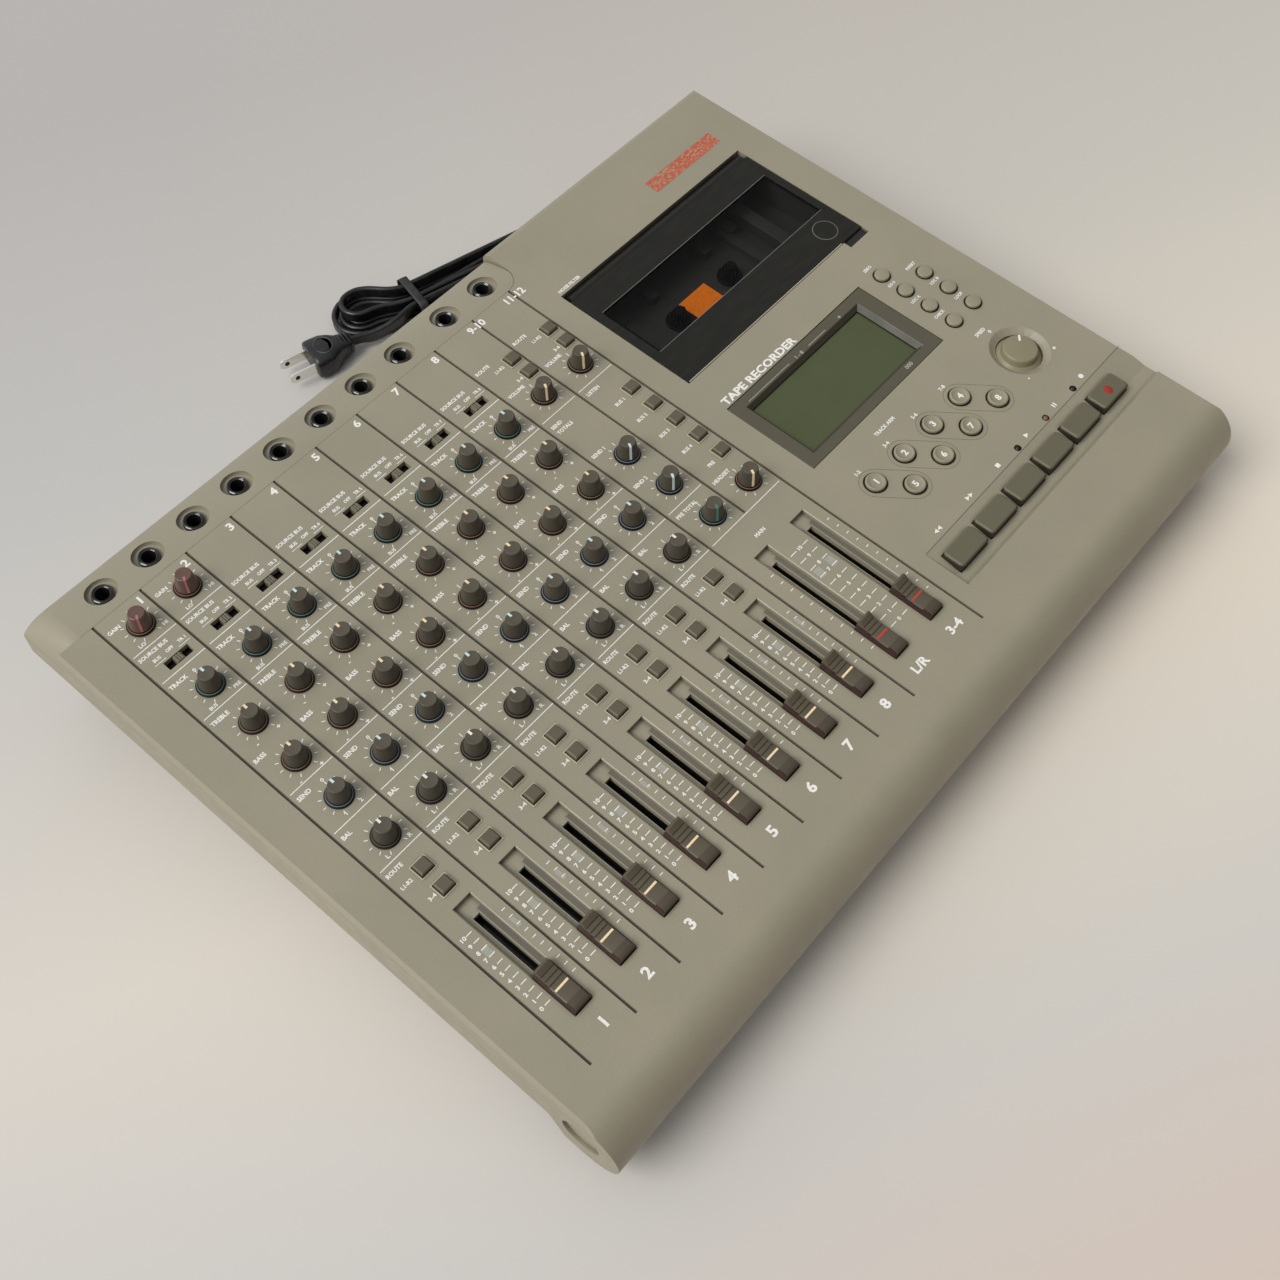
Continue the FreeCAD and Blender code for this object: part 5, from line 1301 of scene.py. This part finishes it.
def underside():
    """Recessed screws and a vent of slots in the lower case, the slots as dark sheets of painted shade."""
    shape, slots = Shape(), Shape()
    for x in (-190, -60, 60, 190):
        for y in (-120, 0, 130):
            shape.lathe((x, y, 6.0), [(0.0, -0.05), (1.6, -0.1), (3.0, -0.15), (3.2, 0.1)], 24)
    make("base_screws", shape, STEEL, place=ROW)
    for k in range(9):
        x = 100 + k * 8.0
        slots.box((x, 60, 5.9), (x + 3.0, 110, 6.1))
    make("base_vents", slots, GAP_SHADE, place=ROW)


# Lettering, with places in strips and heights in millimetres

LEFT_ALIGNED = {"middle": 0, "wide": 0.97}
CHANNEL_LABELS = [("SOURCE BUS", 0.08, -1.07, 1.95), ("TRACK", 0.08, -1.82, 2.1),
                  ("TREBLE", 0.08, -2.81, 2.1), ("BASS", 0.08, -3.795, 2.1), ("SEND", 0.08, -4.78, 2.1),
                  ("BAL", 0.08, -5.76, 2.1), ("ROUTE", 0.08, -6.715, 1.95), ("L1-R2", 0.10, -7.01, 1.8)]
CHANNEL_WORDS = [("BUS", 0.31, -1.235, 1.7), ("OFF", 0.575, -1.235, 1.7), ("BUS", 0.33, -2.575, 1.75),
                 ("PRE", 0.86, -2.545, 1.75)]
CHANNEL_FIGURES = [("3-4", 0.32, -7.443, 1.8), ("0", 0.577, -1.835, 1.8), ("+", 0.777, -3.60, 2.2),
                   ("-", 0.337, -3.59, 2.2), ("+", 0.777, -4.585, 2.2), ("-", 0.337, -4.575, 2.2),
                   ("0", 0.577, -4.80, 1.8), ("1", 0.423, -5.488, 1.8), ("2", 0.744, -5.494, 1.8),
                   ("L", 0.345, -6.474, 1.9), ("R", 0.827, -6.467, 1.9)]
MASTER_LABELS = [("VOLUME", 8.10, -1.78, 2.0), ("VOLUME", 9.10, -1.78, 2.0), ("LISTEN", 9.10, -2.79, 2.0),
                 ("SEND", 8.10, -2.83, 2.0), ("TOTALS", 8.10, -2.98, 2.0), ("SEND 1", 8.10, -3.80, 2.0),
                 ("SEND 2", 8.10, -4.78, 2.0), ("PRE TOTAL", 8.10, -5.76, 2.0), ("HEADSET", 9.10, -5.76, 2.0),
                 ("MAIN", 8.72, -7.01, 2.0), ("ROUTE", 8.08, -0.98, 2.0), ("ROUTE", 9.08, -0.98, 2.0),
                 ("L1-R2", 8.36, -1.20, 1.8), ("L1-R2", 9.36, -1.20, 1.8)]
DECK_WORDS = [("ZERO", 15.10, -4.74, 1.7), ("GO 0", 15.10, -5.32, 1.7), ("LOC A", 15.10, -5.89, 1.7),
              ("CHECK", 15.10, -6.45, 1.7), ("INSERT", 15.74, -5.31, 1.7), ("LOC B", 15.74, -5.88, 1.7),
              ("LOOP", 15.74, -6.45, 1.7)]
DECK_FIGURES = [("1-2", 11.004, -7.52, 1.9), ("3-4", 11.879, -7.52, 1.9), ("5-6", 12.754, -7.52, 1.9),
                ("7-8", 13.635, -7.52, 1.9), ("0", 15.389, -7.41, 2.0), ("+", 15.875, -8.551, 2.6),
                ("-", 14.924, -8.587, 2.6)]
SYMBOL_ROW = -9.30 * PITCH


def texts(ink, rows, shift=0.0, **look):
    """Writes rows of text, x, y and height."""
    for text, x, y, height in rows:
        write(ink, text, at(shift + x, y), height, **look)


def strokes(ink, rows, width, shift=0.0):
    """Draws lines to the right from rows of start, stop and y."""
    for start, stop, y in rows:
        ink.bar(at(shift + start, y), at(shift + stop, y), width)


def patch(shape, left, right, front, rear, height):
    shape.flat([at(left, front), at(right, front), at(right, rear), at(left, rear)], height)


def channel_marks(ink, pale):
    """Lines, scales, numbers and short labels of the eight channel strips."""
    for i in range(CHANNELS):
        number = str(i + 1)
        rules = ((-0.95,) if i < 2 else ()) + (-1.655, -2.65, -4.626, -5.605)
        strokes(ink, [(0.065, 0.965, y) for y in rules] + [(0.079, 0.976, -6.583)], 0.45, i)
        strokes(ink, [(0.20, 0.43, -1.325), (0.70, 0.93, -1.325)], 0.32, i)
        texts(ink, CHANNEL_LABELS, i, **LEFT_ALIGNED)
        texts(ink, CHANNEL_WORDS + [("TR " + number, 0.83, -1.235, 1.7)], i, wide=0.95)
        texts(ink, CHANNEL_FIGURES + [(number, 0.562, -10.628, 5.0), (number, 0.85, -0.16, 4.2)], i)
        channel_fader_scale(ink, pale, i)
    texts(ink, [("9-10", 8.95, -0.16, 4.2), ("11-12", 9.98, -0.16, 4.2)], wide=1.0)
    for i in range(2):
        texts(ink, [("GAIN", 0.08, -0.30, 2.0)], i, **LEFT_ALIGNED)
        texts(ink, [("LO", 0.33, -0.86, 1.75), ("HI", 0.86, -0.80, 1.75)], i)


def channel_fader_scale(ink, pale, i):
    for k in range(11):
        y = -9.833 + k * (9.833 - 8.255) / 10
        strokes(ink, [(0.20, 0.32, y)], 0.45, i)
        texts(ink, [(str(k), 0.135, y, 1.9)], i)
        if k < 10:
            strokes(ink, [(0.845, 0.92, y + 0.04)], 0.42, i)
    for left, right in ((0.19, 0.31), (0.824, 0.90)):
        patch(pale, i + left, i + right, -8.74, -8.55, PRINT_LIFT / 2)


def dial_ticks(ink):
    """Short strokes round each knob."""
    for place in knob_places():
        for step in range(-5, 6):
            angle = math.radians(step * 30)
            along = Vector((math.sin(angle), math.cos(angle)))
            end = 9.3 if step else 9.9
            ink.bar(Vector(place) + along * 7.6, Vector(place) + along * end, 0.42)


def master_marks(ink, pale):
    """Lines, scales and labels of the two master strips."""
    strokes(ink, [(8.07, 8.945, -2.63), (9.05, 9.95, -2.63), (8.07, 8.945, -5.6), (8.07, 9.94, -6.583)], 0.42)
    texts(ink, MASTER_LABELS, **LEFT_ALIGNED)
    texts(ink, [("3-4", 8.56, -1.63, 1.8), ("3-4", 9.56, -1.63, 1.8), ("L/R", 8.545, -10.63, 4.4),
                ("3-4", 9.542, -10.63, 4.4)])
    buses = [("BUS %d" % (k + 1), 9.39, -3.33 - k * 0.53, 1.9) for k in range(4)]
    texts(ink, buses + [("PRE", 9.42, -5.45, 1.9)], wide=0.97)
    bars = ((8.80, 8.96), (9.13, 9.275))
    for k in range(11):
        y = -9.845 + k * (9.845 - 7.725) / 10
        strokes(ink, [(start, stop, y) for start, stop in ((8.245, 8.315), *bars, (9.84, 9.90))], 0.45)
        texts(ink, [(str(k), 9.043, y, 1.9)])
    for left, right in bars:
        patch(pale, left, right, -8.40, -8.19, PRINT_LIFT / 2)


def deck_marks(ink):
    """Words and symbols round the display, the dial and the keys."""
    texts(ink, DECK_WORDS, wide=0.95)
    texts(ink, DECK_FIGURES)
    write(ink, "TRACK ARM", (112.6, -196.0), 2.0, wide=0.97)
    write(ink, "SPEED", (195.1, -196.7), 2.0, wide=0.97)
    write(ink, "TAPE RECORDER", (70.6, -128.4), 4.3, middle=0, wide=1.2)
    write(ink, "NOISE FILTER", (70.0, -19.9), 1.9, **LEFT_ALIGNED)
    y = SYMBOL_ROW
    arrows = ((0, -1.9, -1.2, -1.2, -1.3), (0, 0.7, -1.2, -1.2, -1.3), (1, -0.7, 1.2, 1.2, 1.3),
              (1, 1.9, 1.2, 1.2, 1.3), (3, 0.0, 1.3, 1.4, 1.4))
    for key, shift, back, tip, half in arrows:
        u = key_place(key) + shift
        ink.flat([(u - back, y - half), (u + tip, y), (u - back, y + half)])
    ink.flat(rectangle(key_place(2), y, 1.2, 1.2))
    for u in (key_place(4) - 0.75, key_place(4) + 0.75):
        ink.bar((u, y - 1.3), (u, y + 1.3), 0.8)
    ink.lathe((key_place(5), y), [(0.0, PRINT_LIFT), (1.4, PRINT_LIFT)], 24)


def lettering():
    ink, pale, strip = Shape(), Shape(), Shape()
    channel_marks(ink, pale)
    dial_ticks(ink)
    master_marks(ink, pale)
    deck_marks(ink)
    make("panel_print", ink, WHITE)
    make("panel_print_bars", pale, PALE_BAR)
    patch(strip, 13.94, 15.93, -0.40, -0.06, PRINT_LIFT)
    make("plate_place_print", strip, BADGE)


def creases():
    """The crease along the rear of the key trough, a dark line of painted shade, and painted shade on the
    floors of the panel's grooves.
    """
    crease, floor_shadows = Shape(), Shape()
    left, right, rear = TROUGH
    crease.bar((left, rear), (right, rear), 0.28, height=0.03)
    make("trough_crease", crease, CREASE_SHADE)
    for i in range(CHANNELS + 3):
        u, front = groove(i), MASTER_GROOVE_FRONT if i == CHANNELS + 1 else GROOVE_FRONT
        floor_shadows.box((u - 0.42, front + 0.1, -0.8), (u + 0.42, -0.1, -0.72))
    make("groove_shadows", floor_shadows, GROOVE_SHADE)


def finishes():
    """Finishes and soft edges of the CAD nodes that stay in sight."""
    dress("upper_case", CASE, 0.35, 2, jack_strip())
    for node, material, width in (
            ("lower_case", BASE, 0.5), ("rear_panel", BLACK, 0.2), ("cassette_well", WELL, 0.3),
            ("head_block", STEEL, 0.2), ("tape_drive", IRON, 0.0), ("circuit_boards", BOARD, 0.0),
            ("control_pots", BLACK, 0.0), ("power_transformer", IRON, 0.5), ("rubber_feet", RUBBER, 0.4),
            ("power_switch", BLACK, 0.3), ("door_arms", WELL, 0.2)):
        dress(node, material, width)


set_camera()
set_floor_and_light()
lead = mains_lead()
plug_body = plug()
tie_piece = tie()
strain_relief()
finishes()
channel_knobs()
single_knobs()
knob_wells()
faders()
fader_tracks()
transport_keys()
assign_buttons()
round_buttons()
slide_switches()
jack_rings()
pitch_dial()
lamps()
lid()
tape_path()
spindles()
display()
rear_fittings()
underside()
creases()
lettering()
